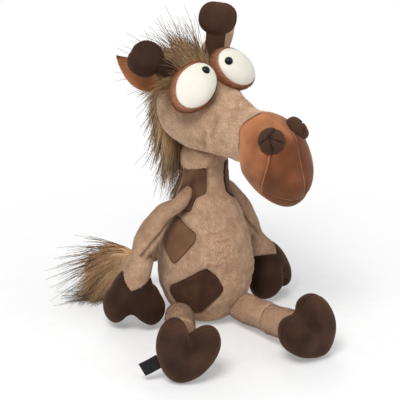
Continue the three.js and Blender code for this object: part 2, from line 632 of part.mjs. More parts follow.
function hoof({ middle, toes, across, width, height, thickness }) {
  const outwards = across.clone().cross(toes);
  const form = (inset) => {
    const rings = [];
    for (let i = 0; i <= HOOF_STEPS; i += 1) {
      const share = -Math.cos((Math.PI * i) / HOOF_STEPS);
      const plump = Math.max(HOOF_FLAT, (1 - Math.abs(share) ** HOOF_PLUMP) ** (1 / HOOF_PLUMP));
      const centre = middle.clone().addScaledVector(outwards, share * (thickness / 2 - inset));
      const wide = across.clone().multiplyScalar(plump * (width / 2 - inset));
      const tall = toes.clone().multiplyScalar(plump * (height / 2 - inset));
      rings.push(ring(centre, wide, tall, hoofOutline()));
    }
    return solid(loft(rings));
  };
  middle.z += -HOOF_SETTLE - form(0).boundingBox().min[2];
  return { middle, outwards, form: (inset) => form(inset).trimByPlane([0, 0, 1], Math.max(0, inset)) };
}

function limbPieces(name, path, half, facing, foot) {
  const form = (inset, open) => limb(path, half, { inset, open, facing });
  const room = form(-GAP, true);
  const hoofShell = foot.form(0).subtract(foot.form(CLOTH));
  const hoofInside = foot.form(CLOTH + STUFFING_GAP);
  place(toy, `${name}_skin`, geometryOf(biggestPiece(form(0).subtract(form(CLOTH, true)))), tan);
  place(toy, `${name}_filling`, geometryOf(form(CLOTH + STUFFING_GAP)), fibre);
  place(toy, `${name}_hoof`, geometryOf(biggestPiece(hoofShell.subtract(room))), brown);
  place(toy, `${name}_hoof_filling`, geometryOf(biggestPiece(hoofInside.subtract(room))), fibre);
}

// Where a limb starts: the far side of its root's ball from the next bend.
function rooted(root, next, radius) {
  const along = next.clone().sub(root).normalize();
  return root.clone().addScaledVector(along, -radius);
}

function armHalf(distance, length) {
  const swell = smooth((distance - ARM_ROOT_RADIUS) / (ARM_SWELL * length));
  return dome(ARM_ROOT_RADIUS, distance) + (ARM_RADIUS - ARM_ROOT_RADIUS) * swell;
}

const legHalf = (distance) => dome(LEG_RADIUS, distance);

function arm(name, root, bends, end, turn, lean) {
  const across = vec(Math.cos(rad(turn)), Math.sin(rad(turn)), 0);
  const outwards = vec(end.x, end.y, 0).normalize();
  const toes = outwards.multiplyScalar(Math.sin(rad(lean))).addScaledVector(UP, -Math.cos(rad(lean)));
  toes.addScaledVector(across, -toes.dot(across)).normalize();
  const middle = end.clone().addScaledVector(toes, ARM_TOES_BELOW_END);
  const size = { width: ARM_HOOF_WIDTH, height: ARM_HOOF_HEIGHT, thickness: ARM_HOOF_THICKNESS };
  const foot = hoof({ middle, toes, across, ...size });
  const path = [rooted(root, bends[0], ARM_ROOT_RADIUS), ...bends, end];
  limbPieces(name, path, armHalf, vec(0, -1, 0), foot);
}

arm("arm_right", rightShoulder, RIGHT_ARM_BENDS, RIGHT_ARM_END, RIGHT_ARM_HOOF_TURN, 0);
arm("arm_left", leftShoulder, LEFT_ARM_BENDS, LEFT_ARM_END, LEFT_ARM_HOOF_TURN, LEFT_ARM_HOOF_LEAN);

function leg(name, side, root, aside) {
  const sole = vec(side * Math.sin(rad(FOOT_SPLAY)), -Math.cos(rad(FOOT_SPLAY)), 0);
  const level = UP.clone().cross(sole).negate();
  const roll = rad(FOOT_ROLL);
  const toes = UP.clone().multiplyScalar(Math.cos(roll)).addScaledVector(level, -side * Math.sin(roll));
  const across = toes.clone().cross(sole);
  const middle = vec(side * aside, -FOOT_AHEAD, LEG_HOOF_HEIGHT / 2);
  const size = { width: LEG_HOOF_WIDTH, height: LEG_HOOF_HEIGHT, thickness: LEG_HOOF_THICKNESS };
  const foot = hoof({ middle, toes, across, ...size });
  const end = foot.middle.clone().addScaledVector(sole, ANKLE_DEPTH - LEG_HOOF_THICKNESS / 2);
  end.setZ(ANKLE_HEIGHT);
  const knee = root.clone().lerp(end, 0.5).setZ(root.z);
  limbPieces(name, [rooted(root, knee, LEG_RADIUS), knee, end], legHalf, UP, foot);
  return { middle: foot.middle, form: foot.form, toes, across, sole };
}

const rightFoot = leg("leg_right", -1, rightHip, RIGHT_FOOT_ASIDE);
leg("leg_left", 1, leftHip, LEFT_FOOT_ASIDE);

// Side label: a bare cloth tab sewn into the right foot's outer edge
const labelFrame = new THREE.Matrix4().makeBasis(rightFoot.across, rightFoot.toes, rightFoot.sole);
const labelMiddle = rightFoot.middle.clone().addScaledVector(rightFoot.toes, -LABEL_DROP);
labelMiddle.addScaledVector(rightFoot.across, LABEL_WIDTH / 2 - LABEL_SHOWS - LEG_HOOF_WIDTH / 2);
labelFrame.setPosition(labelMiddle);
const tab = solid(new THREE.BoxGeometry(LABEL_WIDTH, LABEL_HEIGHT, LABEL_THICKNESS).applyMatrix4(labelFrame));
place(toy, "side_label", geometryOf(biggestPiece(tab.subtract(rightFoot.form(-GAP)))), label);

// Tail and its tuft
const tailPath = [rooted(tailRoot, TAIL_BENDS[0], TAIL_RADIUS), ...TAIL_BENDS, TAIL_END];
const tailHalf = (distance) => dome(TAIL_RADIUS, distance);
const tailForm = (inset, open) => limb(tailPath, tailHalf, { inset, open, facing: UP });
place(toy, "tail", geometryOf(tailForm(0)), tan);

function tuftHalf(distance, length) {
  return TUFT_HALF * Math.sin(Math.PI * (distance / length) ** TUFT_FULLNESS) ** TUFT_BLUNT;
}

const tuftStart = rooted(TAIL_END, TUFT_END, TUFT_OVERLAP);
const tuft = limb([tuftStart, tuftStart.clone().lerp(TUFT_END, 0.5), TUFT_END], tuftHalf, { facing: UP });
place(toy, "tail_tuft", geometryOf(biggestPiece(tuft.subtract(tailForm(-GAP)))), fur);

// Mane down the back of the neck, and the room that it takes with a clearance round it
function maneForm(clearance) {
  const height = NECK_HEIGHT - MANE_BOTTOM + 2 * clearance;
  const box = solid(new THREE.BoxGeometry(MANE_WIDTH + 2 * clearance, 2 * BELLY_RADIUS, height)
    .translate(0, BELLY_RADIUS, MANE_BOTTOM - clearance + height / 2 - GAP));
  return bodyForm(MANE_THICKNESS, 0, NECK_HEIGHT).intersect(box);
}

const bodyRoom = bodyForm(GAP, -MOUTH, NECK_HEIGHT + MOUTH);
place(toy, "neck_mane", geometryOf(maneForm(0).subtract(bodyRoom)), fur);

// Spots: velour patches on the body; corners are [round the body towards its left, up] from the middle
const spots = [
  ["spot_neck_right", -60, 166, [[-20, -14], [-14, 18], [20, 18], [22, -4], [10, -8], [6, -24], [-4, -26]]],
  ["spot_neck_left", 82, 166, [[-20, 18], [-22, -6], [-6, -20], [12, -18], [20, 4], [14, 18]]],
  ["spot_side_right", -58, 100, [[-17, 36], [19.5, 21.5], [21, 13], [-3.5, -19.5], [-34, 3]]],
  ["spot_belly", -32, 50, [[-40, -1], [14, 29], [23.5, 20], [32.5, 4], [2.5, -29], [-20, -26]]],
  ["spot_side_left", 88, 68, [[-20, 4], [-2, 20], [20, 10], [16, -16], [-10, -20]]],
  ["spot_back", 150, 92, [[-24, -8], [-12, 22], [14, 20], [22, -10], [0, -26]]],
];

function spot(name, turn, height, corners) {
  const radius = bodyRadius(height);
  const points = corners.map(([aside, up]) => new THREE.Vector2(radius * Math.sin(aside / radius), up));
  const shape = new THREE.Shape();
  points.forEach((corner, i) => {
    const before = points[(i + points.length - 1) % points.length];
    const after = points[(i + 1) % points.length];
    const enter = corner.clone().lerp(before, SPOT_ROUNDING);
    const leave = corner.clone().lerp(after, SPOT_ROUNDING);
    if (i === 0) shape.moveTo(enter.x, enter.y);
    else shape.lineTo(enter.x, enter.y);
    shape.quadraticCurveTo(corner.x, corner.y, leave.x, leave.y);
  });
  shape.closePath();
  const extrusion = { depth: 2 * BELLY_RADIUS, bevelEnabled: false, curveSegments: CORNER_STEPS };
  const prism = solid(new THREE.ExtrudeGeometry(shape, extrusion)
    .rotateX(Math.PI / 2).rotateZ(rad(turn)).translate(0, 0, height));
  const sheet = bodyForm(GAP + THIN_CLOTH, 0, NECK_HEIGHT - GAP).subtract(bodyRoom);
  const patch = sheet.intersect(prism).subtract(dimples).subtract(maneForm(GAP));
  place(toy, name, geometryOf(biggestPiece(patch)), brown);
}

for (const [name, turn, height, corners] of spots) spot(name, turn, height, corners);

export default toy;
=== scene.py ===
# %% [markdown]
# # A sitting plush giraffe
# The toy is sewn from short tan plush, smooth brown, rust and white velour, and long faux fur. The packed
# solids give where every piece is and how it moves. This script dresses them: each stuffed piece is a fine
# mesh with its seams pressed in, short pile stands on the plush, and long fur grows on the crest, the mane
# and the tail.

# %% Frame and units
import json
import math

import bpy
import numpy as np
from mathutils import Matrix, Vector, noise


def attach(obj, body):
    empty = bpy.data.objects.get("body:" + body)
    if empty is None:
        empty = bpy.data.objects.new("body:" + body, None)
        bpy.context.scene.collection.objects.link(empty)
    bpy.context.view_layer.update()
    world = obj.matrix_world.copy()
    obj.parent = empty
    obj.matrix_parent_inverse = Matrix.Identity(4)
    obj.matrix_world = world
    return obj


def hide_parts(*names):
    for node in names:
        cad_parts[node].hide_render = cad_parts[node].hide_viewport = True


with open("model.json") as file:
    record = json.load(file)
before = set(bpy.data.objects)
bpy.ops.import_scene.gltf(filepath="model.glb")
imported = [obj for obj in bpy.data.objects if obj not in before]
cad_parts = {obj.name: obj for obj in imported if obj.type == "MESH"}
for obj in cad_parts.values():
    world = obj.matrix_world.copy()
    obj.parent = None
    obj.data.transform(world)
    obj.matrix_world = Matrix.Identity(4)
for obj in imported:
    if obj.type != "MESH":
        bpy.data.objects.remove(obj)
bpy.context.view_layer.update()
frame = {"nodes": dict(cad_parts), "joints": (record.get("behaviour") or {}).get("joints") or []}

joint_at = {joint["name"]: np.array(joint["pos_m"]) for joint in frame["joints"]}
NECK_CENTRE = joint_at["head_nod"]
UP = np.array([0.0, 0.0, 1.0])
DOWN = np.array([0.0, 0.0, -1.0])
SIDES = ((-1, "right"), (1, "left"))  # the toy's own sides, by the sign of x

# %% [markdown]
# ## Camera
# The photograph looks slightly down on the toy from its right. A long lens keeps the feet from growing
# large. The camera is placed by its angles round the toy and its distance, and its lens follows from the
# size of the view.

# %% Camera
CAMERA_AZIMUTH = math.radians(-22)
CAMERA_ELEVATION = math.radians(22)
CAMERA_DISTANCE = 1.9
CAMERA_TARGET = Vector((0.01324, 0.04852, 0.12363))
VIEW_WIDTH = 0.472
SENSOR_WIDTH = 36.0  # millimetres

camera_data = bpy.data.cameras.new("photo_camera")
camera_data.sensor_width = SENSOR_WIDTH
camera_data.lens = SENSOR_WIDTH * CAMERA_DISTANCE / VIEW_WIDTH
camera = bpy.data.objects.new("photo_camera", camera_data)
bpy.context.scene.collection.objects.link(camera)
level = math.cos(CAMERA_ELEVATION)
back = Vector((
    math.sin(CAMERA_AZIMUTH) * level,
    -math.cos(CAMERA_AZIMUTH) * level,
    math.sin(CAMERA_ELEVATION),
))
camera.location = CAMERA_TARGET + back * CAMERA_DISTANCE
camera.rotation_euler = back.to_track_quat("Z", "Y").to_euler()
bpy.context.scene.camera = camera
print("lens", round(camera_data.lens, 1), "mm")

# %% [markdown]
# ## Light
# The toy sits under soft studio light. A large lamp above the camera's left makes the soft shadow. A weaker
# one fills the other side, and one behind lights the edges of the fur. Area lamps are chosen because the
# size of a lamp is what makes its shadow soft.

# %% Lamps
bpy.context.scene.view_settings.view_transform = "Standard"
TOY_MIDDLE = Vector((0.0, -0.02, 0.17))
LAMPS = {
    "key_lamp": dict(place=(-0.75, -1.0, 1.75), size=0.9, watts=29),
    "fill_lamp": dict(place=(1.3, -1.2, 0.9), size=1.4, watts=5),
    "back_lamp": dict(place=(0.3, 1.4, 1.5), size=1.2, watts=8),
}

for lamp_name, lamp in LAMPS.items():
    lamp_data = bpy.data.lights.new(lamp_name, "AREA")
    lamp_data.shape = "DISK"
    lamp_data.size = lamp["size"]
    lamp_data.energy = lamp["watts"]
    light = bpy.data.objects.new(lamp_name, lamp_data)
    light.location = lamp["place"]
    light.rotation_euler = (light.location - TOY_MIDDLE).to_track_quat("Z", "Y").to_euler()
    bpy.context.scene.collection.objects.link(light)
print("lamps", len(LAMPS))

# %% [markdown]
# ## World
# The white room round the toy gives the rest of the light. A white this bright would wash the colours out,
# so the world is dim where it lights the toy, and plain white where the camera sees it.

# %% World


def seen_rays(tree):
    """One for what the camera sees, straight, in gloss or in glass; zero for light that falls on the toy."""
    rays = tree.nodes.new("ShaderNodeLightPath")
    seen = rays.outputs["Is Camera Ray"]
    for kind in ("Is Glossy Ray", "Is Transmission Ray"):
        either = tree.nodes.new("ShaderNodeMath")
        either.operation = "MAXIMUM"
        tree.links.new(seen, either.inputs[0])
        tree.links.new(rays.outputs[kind], either.inputs[1])
        seen = either.outputs[0]
    return seen


world = bpy.data.worlds.new("studio")
bpy.context.scene.world = world
world.use_nodes = True
world_nodes = world.node_tree.nodes
WORLD_LIGHT = 0.41
room = world_nodes["Background"]
room.inputs["Color"].default_value = (1, 1, 1, 1)
room.inputs["Strength"].default_value = WORLD_LIGHT
paper_white = world_nodes.new("ShaderNodeBackground")
paper_white.inputs["Color"].default_value = (1, 1, 1, 1)
paper_white.inputs["Strength"].default_value = 1.0
seen_mix = world_nodes.new("ShaderNodeMixShader")
world.node_tree.links.new(seen_rays(world.node_tree), seen_mix.inputs["Fac"])
world.node_tree.links.new(room.outputs["Background"], seen_mix.inputs[1])
world.node_tree.links.new(paper_white.outputs["Background"], seen_mix.inputs[2])
world.node_tree.links.new(seen_mix.outputs["Shader"], world_nodes["World Output"].inputs["Surface"])
print("world", WORLD_LIGHT)

# %% [markdown]
# ## Finishes
# Plush and velour are cloth with a nap. Seen along the nap they are dark, seen against it light. A picture
# of cloth would do, but tones mixed by cloudy noise fit any form, so each finish is a small tree of nodes.
# First come the nodes that all of them use.

# %% Helpers for finishes


def srgb(red, green, blue):
    """A colour written as on a screen, from 0 to 255, as Blender's linear values."""
    values = [c / 255 for c in (red, green, blue)]
    linear = [c / 12.92 if c <= 0.04045 else ((c + 0.055) / 1.055) ** 2.4 for c in values]
    return (*linear, 1.0)


def link(material, source, target):
    material.node_tree.links.new(source, target)


def new_finish(name, roughness, sheen=0.0, sheen_tint=(1, 1, 1, 1)):
    material = bpy.data.materials.new(name)
    material.use_nodes = True
    shader = material.node_tree.nodes["Principled BSDF"]
    shader.inputs["Roughness"].default_value = roughness
    shader.inputs["Specular IOR Level"].default_value = 0.2
    shader.inputs["Sheen Weight"].default_value = sheen
    shader.inputs["Sheen Roughness"].default_value = 0.45
    shader.inputs["Sheen Tint"].default_value = sheen_tint
    return material, shader


def noise_node(material, scale, detail):
    """Cloudy noise on the piece's own coordinates, in metres."""
    nodes = material.node_tree.nodes
    place = nodes.new("ShaderNodeTexCoord")
    cloud = nodes.new("ShaderNodeTexNoise")
    cloud.inputs["Scale"].default_value = scale
    cloud.inputs["Detail"].default_value = detail
    link(material, place.outputs["Object"], cloud.inputs["Vector"])
    return cloud.outputs["Fac"]


def ramp_node(material, fac, stops):
    ramp = material.node_tree.nodes.new("ShaderNodeValToRGB")
    while len(ramp.color_ramp.elements) < len(stops):
        ramp.color_ramp.elements.new(0.5)
    for element, (position, colour) in zip(ramp.color_ramp.elements, stops):
        element.position = position
        element.color = colour
    link(material, fac, ramp.inputs["Fac"])
    return ramp.outputs["Color"]


def mix_node(material, fac, first, second):
    mix = material.node_tree.nodes.new("ShaderNodeMix")
    mix.data_type = "RGBA"
    if isinstance(fac, float):
        mix.inputs["Factor"].default_value = fac
    else:
        link(material, fac, mix.inputs["Factor"])
    link(material, first, mix.inputs["A"])
    link(material, second, mix.inputs["B"])
    return mix.outputs["Result"]


print("helpers for finishes ready")

# %% [markdown]
# ## Cloth
# Every cloth mixes two tones by patches and by fine grain. It has a bump for its fibres, and a sheen that
# lightens the edges of a form. A piece may carry an attribute that moves the tones up or down, for its nap
# where the cloth is stroked and for painted light and shade.

# %% Cloth


def shaded(colour, factor):
    return (*(channel * factor for channel in colour[:3]), 1.0)


GRAIN_SHARE = 0.35  # how much of a cloth's tone comes from its grain, the rest from its patches
FIBRE_BUMP = 0.6


def cloth_finish(name, dark, light, patch, grain, sheen, bump, tint=(1, 1, 1, 1)):
    """Napped cloth from two tones; patch and grain are the scales of its noise, bump its depth in metres."""
    material, shader = new_finish(name, 0.85, sheen, tint)
    nap_and_light_node = material.node_tree.nodes.new("ShaderNodeAttribute")
    # this attribute holds the nap and also painted light and shade
    nap_and_light_node.attribute_name = "nap_and_painted_light"
    stops = [(0.0, shaded(dark, 0.55)), (0.34, dark), (0.66, light), (1.0, shaded(light, 1.4))]
    tones = []
    for cloud in (noise_node(material, patch, 4), noise_node(material, grain, 3)):
        moved = material.node_tree.nodes.new("ShaderNodeMath")
        moved.operation = "ADD"
        link(material, cloud, moved.inputs[0])
        link(material, nap_and_light_node.outputs["Fac"], moved.inputs[1])
        tones.append(ramp_node(material, moved.outputs[0], stops))
    link(material, mix_node(material, GRAIN_SHARE, *tones), shader.inputs["Base Color"])
    fibres = material.node_tree.nodes.new("ShaderNodeBump")
    fibres.inputs["Strength"].default_value = FIBRE_BUMP
    fibres.inputs["Distance"].default_value = bump
    link(material, noise_node(material, grain, 2), fibres.inputs["Height"])
    link(material, fibres.outputs["Normal"], shader.inputs["Normal"])
    return material


tan_backing = cloth_finish(
    "tan_plush_backing", srgb(152, 118, 92), srgb(196, 162, 134), 60, 900, 0.25, 0.0006
)
brown_velour = cloth_finish(
    "brown_velour", srgb(47, 28, 18), srgb(70, 46, 33), 42, 1500, 0.42, 0.0002, srgb(150, 108, 80)
)
patch_velour = cloth_finish(
    "patch_velour", srgb(70, 43, 29), srgb(104, 75, 55), 42, 1500, 0.35, 0.0002, srgb(170, 140, 125)
)
rust_velour = cloth_finish(
    "rust_velour", srgb(114, 65, 39), srgb(160, 103, 68), 36, 1500, 0.4, 0.0002, srgb(225, 195, 170)
)
white_velour = cloth_finish(
    "white_velour", srgb(220, 217, 203), srgb(234, 231, 219), 40, 1500, 0.15, 0.0002
)
label_black = cloth_finish("label_black", srgb(24, 24, 25), srgb(40, 40, 41), 300, 2500, 0.1, 0.0002)
pellet_grain = cloth_finish(
    "pellet_pouch_cloth", srgb(200, 203, 205), srgb(224, 226, 228), 60, 1200, 0.1, 0.0008
)
washer_nylon = cloth_finish(
    "washer_nylon", srgb(214, 216, 216), srgb(226, 228, 228), 100, 800, 0.0, 0.0001
)
pupil_black, pupil_shader = new_finish("pupil_black", 0.10)
pupil_shader.inputs["Base Color"].default_value = srgb(9, 8, 8)
print("cloths", len(bpy.data.materials))

# %% [markdown]
# ## Pile and fur finishes
# A fibre is too thin for noise to show, so its colour comes from a map of its own. The map's V runs from
# root to tip, and its U says how light this one fibre is. The long fur's dark strands turn black at the
# tip, as guard hairs do.

# %% Pile and fur finishes
FIBRE_MAP = "OFBake"


def fibre_finish(name, stops, roughness):
    """Pile and fur: stops are places along a fibre, each with its darkest and its lightest colour."""
    material, shader = new_finish(name, roughness)
    shader.inputs["Specular IOR Level"].default_value = 0.25
    nodes = material.node_tree.nodes
    fibre_map = nodes.new("ShaderNodeUVMap")
    fibre_map.uv_map = FIBRE_MAP
    parts = nodes.new("ShaderNodeSeparateXYZ")
    link(material, fibre_map.outputs["UV"], parts.inputs["Vector"])
    dark = ramp_node(material, parts.outputs["Y"], [(place, shade) for place, shade, _ in stops])
    light = ramp_node(material, parts.outputs["Y"], [(place, shade) for place, _, shade in stops])
    link(material, mix_node(material, parts.outputs["X"], dark, light), shader.inputs["Base Color"])
    return material


tan_pile = fibre_finish("tan_plush_pile", [
    (0.0, srgb(136, 102, 76), srgb(190, 154, 124)),
    (0.5, srgb(160, 125, 98), srgb(220, 186, 156)),
    (1.0, srgb(172, 138, 111), srgb(236, 205, 176)),
], 0.75)
rust_pile = fibre_finish("rust_velour_pile", [
    (0.0, srgb(134, 88, 62), srgb(180, 130, 98)),
    (1.0, srgb(158, 106, 76), srgb(216, 164, 128)),
], 0.75)
long_fur = fibre_finish("long_fur", [
    (0.0, srgb(106, 68, 38), srgb(214, 164, 112)),
    (0.35, srgb(148, 98, 56), srgb(255, 220, 170)),
    (0.60, srgb(122, 80, 46), srgb(255, 230, 190)),
    (0.80, srgb(34, 25, 18), srgb(242, 200, 150)),
    (1.0, srgb(10, 9, 8), srgb(172, 132, 96)),
], 0.5)
print("finishes", len(bpy.data.materials))

# %% [markdown]
# ## Paper floor
# The toy sits on white paper that fades into the white behind it. Near the toy the paper shows its shadows.
# Further off it glows white to the camera alone, so that no edge shows and no light is thrown back on the
# toy.

# %% Paper floor
FLOOR_SIZE = 6.0
PAPER_WHITE_NEAR, PAPER_WHITE_FAR = 0.26, 1.0
PAPER_NEAR, PAPER_FAR = 0.19, 0.46
floor_mesh = bpy.data.meshes.new("paper_floor")
reach = FLOOR_SIZE / 2
floor_mesh.from_pydata(
    [(-reach, -reach, 0), (reach, -reach, 0), (reach, reach, 0), (-reach, reach, 0)], [], [(0, 1, 2, 3)]
)
floor = bpy.data.objects.new("paper_floor", floor_mesh)
bpy.context.scene.collection.objects.link(floor)
paper, paper_shader = new_finish("white_paper", 0.9)
paper_tones = [(0.3, srgb(246, 247, 247)), (0.7, srgb(251, 251, 251))]
paper_grain = ramp_node(paper, noise_node(paper, 60, 3), paper_tones)
link(paper, paper_grain, paper_shader.inputs["Base Color"])
paper_nodes = paper.node_tree.nodes
paper_place = paper_nodes.new("ShaderNodeTexCoord")
paper_distance = paper_nodes.new("ShaderNodeVectorMath")
paper_distance.operation = "LENGTH"
link(paper, paper_place.outputs["Object"], paper_distance.inputs[0])
paper_fade = ramp_node(paper, paper_distance.outputs["Value"], [
    (PAPER_NEAR, (*[PAPER_WHITE_NEAR] * 3, 1)), (PAPER_FAR, (*[PAPER_WHITE_FAR] * 3, 1)),
])
paper_share = paper_nodes.new("ShaderNodeMath")
paper_share.operation = "MULTIPLY"
link(paper, paper_fade, paper_share.inputs[0])
link(paper, seen_rays(paper.node_tree), paper_share.inputs[1])
paper_glow = paper_nodes.new("ShaderNodeEmission")
paper_glow.inputs["Color"].default_value = (1, 1, 1, 1)
paper_mix = paper_nodes.new("ShaderNodeMixShader")
link(paper, paper_share.outputs[0], paper_mix.inputs["Fac"])
link(paper, paper_shader.outputs["BSDF"], paper_mix.inputs[1])
link(paper, paper_glow.outputs["Emission"], paper_mix.inputs[2])
link(paper, paper_mix.outputs["Shader"], paper_nodes["Material Output"].inputs["Surface"])
floor_mesh.materials.append(paper)
print("floor", FLOOR_SIZE, "m")

# %% [markdown]
# ## Forms
# A stuffed piece could be sculpted by hand, but numbers repeat better. Here it is a grid of points: rows
# along it and columns round it. A seam is pressed in wherever it runs: each point near its path moves
# inwards, most at the path itself. Soft noise makes the lumps of the stuffing.

# %% Helpers for grids


def full_turn(count, whole=2 * np.pi):
    """Even steps round a circle, in radians, or in degrees where the whole is 360."""
    return np.arange(count) * whole / count


def circle(turns, across, up):
    """Directions round a circle between two axes."""
    return np.outer(np.cos(turns), across) + np.outer(np.sin(turns), up)


def unit(vectors):
    return vectors / np.maximum(np.linalg.norm(vectors, axis=-1, keepdims=True), 1e-12)


def smooth(share):
    share = np.clip(share, 0, 1)
    return 0.5 - 0.5 * np.cos(np.pi * share)


def grid_normals(points):
    """Outward directions of a grid whose columns run round the form."""
    around = np.roll(points, -1, axis=1) - np.roll(points, 1, axis=1)
    along = np.gradient(points, axis=0)
    normals = unit(np.cross(around, along))
    middle = points.mean(axis=1, keepdims=True)
    outwards = np.sum(normals * (points - middle), axis=-1)
    return normals if outwards.sum() > 0 else -normals


def distance_to(points, path):
    """How far each point of a grid is from a path, given as a dense row of points."""
    flat = points.reshape(-1, 3)
    nearest = np.full(len(flat), np.inf)
    for place in path:
        nearest = np.minimum(nearest, np.sum((flat - place) ** 2, axis=1))
    return np.sqrt(nearest).reshape(points.shape[:-1])


def groove(points, path, width, depth):
    """How far a seam or crease along the path presses each point in."""
    return -depth * np.exp(-((distance_to(points, path) / width) ** 2))


def near(points, paths, width):
    """One on any of the paths, falling to zero away from them."""
    return np.max([np.exp(-((distance_to(points, path) / width) ** 2)) for path in paths], axis=0)


def lumps(points, size, height, seed):
    """Soft unevenness of a stuffed form, as a height for each point."""
    flat = points.reshape(-1, 3) / size + seed
    values = [noise.noise(Vector(place)) for place in flat]
    return height * np.array(values).reshape(points.shape[:-1])


def pressed(points, press):
    """A grid with each point moved along its outward direction."""
    return points + grid_normals(points) * press[..., None]


def curve_points(knots, count):
    """Evenly spaced points on a smooth curve through the knots."""
    knots = np.array(knots, float)
    ends = np.vstack([2 * knots[0] - knots[1], knots, 2 * knots[-1] - knots[-2]])
    dense = []
    for i in range(1, len(ends) - 2):
        before, start, end, after = ends[i - 1], ends[i], ends[i + 1], ends[i + 2]
        for t in np.linspace(0, 1, 40, endpoint=False):
            bend = 2 * before - 5 * start + 4 * end - after
            twist = -before + 3 * start - 3 * end + after
            dense.append(start + 0.5 * t * (end - before + t * (bend + t * twist)))
    dense.append(ends[-2])
    dense = np.array(dense)
    steps = np.concatenate([[0], np.cumsum(np.linalg.norm(np.diff(dense, axis=0), axis=1))])
    wanted = np.linspace(0, steps[-1], count)
    return np.stack([np.interp(wanted, steps, dense[:, k]) for k in range(3)], axis=1)


def profile(places, knots):
    """Values on a smooth curve through (place, value) knots."""
    line = curve_points([(place, value, 0) for place, value in knots], 300)
    return np.interp(places, line[:, 0], line[:, 1])


print("helpers for grids ready")

# %% [markdown]
# A grid becomes a piece when its points are joined by faces and its open ends are closed. The last calls
# then say which body carries the piece and which solids it stands for.

# %% Helpers for pieces


def sheet_quads(rows, columns):
    """The faces of an open sheet of points."""
    return [
        (i * columns + j, i * columns + j + 1, (i + 1) * columns + j + 1, (i + 1) * columns + j)
        for i in range(rows - 1) for j in range(columns - 1)
    ]


def mesh_object(name, vertices, faces, finish):
    mesh = bpy.data.meshes.new(name)
    mesh.from_pydata([tuple(v) for v in vertices], [], faces)
    mesh.polygons.foreach_set("use_smooth", [True] * len(mesh.polygons))
    mesh.materials.append(finish)
    piece = bpy.data.objects.new(name, mesh)
    bpy.context.scene.collection.objects.link(piece)
    return piece


def grid_object(name, points, finish, start_cap=True, end_cap=True):
    """A closed tube-like mesh from a grid, with each end drawn together in a point."""
    rows, columns = points.shape[:2]
    vertices = [*points.reshape(-1, 3)]
    faces = []
    for i in range(rows - 1):
        for j in range(columns):
            k = (j + 1) % columns
            here, ahead = i * columns, (i + 1) * columns
            faces.append((here + j, here + k, ahead + k, ahead + j))
    for row, wanted, turned in ((0, start_cap, True), (rows - 1, end_cap, False)):
        if not wanted:
            continue
        vertices.append(points[row].mean(axis=0))
        for j in range(columns):
            pair = (row * columns + j, row * columns + (j + 1) % columns)
            faces.append((*(pair[::-1] if turned else pair), len(vertices) - 1))
    normals = grid_normals(points)
    around = np.roll(points, -1, axis=1) - points
    along = np.roll(points, -1, axis=0) - points
    facing = np.sum(np.cross(around, along)[:-1] * normals[:-1])
    if facing < 0:
        faces = [face[::-1] for face in faces]
    return mesh_object(name, vertices, faces, finish)


def dress(piece, body, nodes):
    """The last calls for a piece: what carries it, and the solids it stands for, which are hidden."""
    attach(piece, body)
    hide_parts(*nodes)
    print(piece.name, "on", body, len(piece.data.polygons), "faces")


def paint_nap_and_light(piece, nap_and_painted_light):
    """Lighten or darken a velour piece, for its nap and for painted light and shade; one number or one per
    point.
    """
    nap_and_painted_light = np.ravel(nap_and_painted_light)
    values = np.full(len(piece.data.vertices), nap_and_painted_light[-1])
    values[:len(nap_and_painted_light)] = nap_and_painted_light
    attribute = piece.data.attributes.new("nap_and_painted_light", "FLOAT", "POINT")
    attribute.data.foreach_set("value", values)


print("helpers for pieces ready")

# %% [markdown]
# ## Body
# The body is a pear: a flat seat, a full belly and a long neck. It could be sculpted, but it is round, so a
# radius for each height describes it. Below its widest place it is part of an ellipse, and a cosine leads
# up into the neck.

# %% Body form
SEAT_RADIUS = 0.022
BELLY_RADIUS = 0.0555
BELLY_HEIGHT = 0.060
NECK_RADIUS = 0.025
NECK_HEIGHT = 0.186
NECK_TOP = 0.197  # the neck runs on a little way into the roll
SHOULDER_SLOPE = 1.25


def body_radius(height):
    height = np.asarray(height, float)
    depth = BELLY_HEIGHT / math.sqrt(1 - (SEAT_RADIUS / BELLY_RADIUS) ** 2)
    below = BELLY_RADIUS * np.sqrt(np.maximum(1 - ((BELLY_HEIGHT - height) / depth) ** 2, 0))
    share = np.clip((height - BELLY_HEIGHT) / (NECK_HEIGHT - BELLY_HEIGHT), 0, 1) ** SHOULDER_SLOPE
    above = NECK_RADIUS + (BELLY_RADIUS - NECK_RADIUS) * 0.5 * (1 + np.cos(np.pi * share))
    return np.where(height < BELLY_HEIGHT, below, above)


def on_body(turn, height):
    """A point on the body; turn is in degrees from its front towards the toy's left."""
    turn, height = np.radians(turn), np.asarray(height, float)
    radius = body_radius(height)
    return np.stack([radius * np.sin(turn), -radius * np.cos(turn), height + 0 * turn], axis=-1)


def swell(points):
    """How far the stuffing pushes the body's skin out, or lets it sink."""
    return lumps(points, 0.035, 0.0024, 3.1) + lumps(points * [1, 1, 2], 0.016, 0.0011, 8.8)


print("body radius at the seat, belly and neck", body_radius([0, BELLY_HEIGHT, NECK_HEIGHT]).round(4))

# %% [markdown]
# ## Spot outlines
# The dark spots are let into the body, so their outlines are drawn before its skin. Each is a few corners
# on the unrolled body. Every corner is rounded off, because cloth can't be turned in at a sharp point.

# %% Spot outlines
SPOT_ROUNDING = 0.2  # the share of a side that a corner's curve takes up
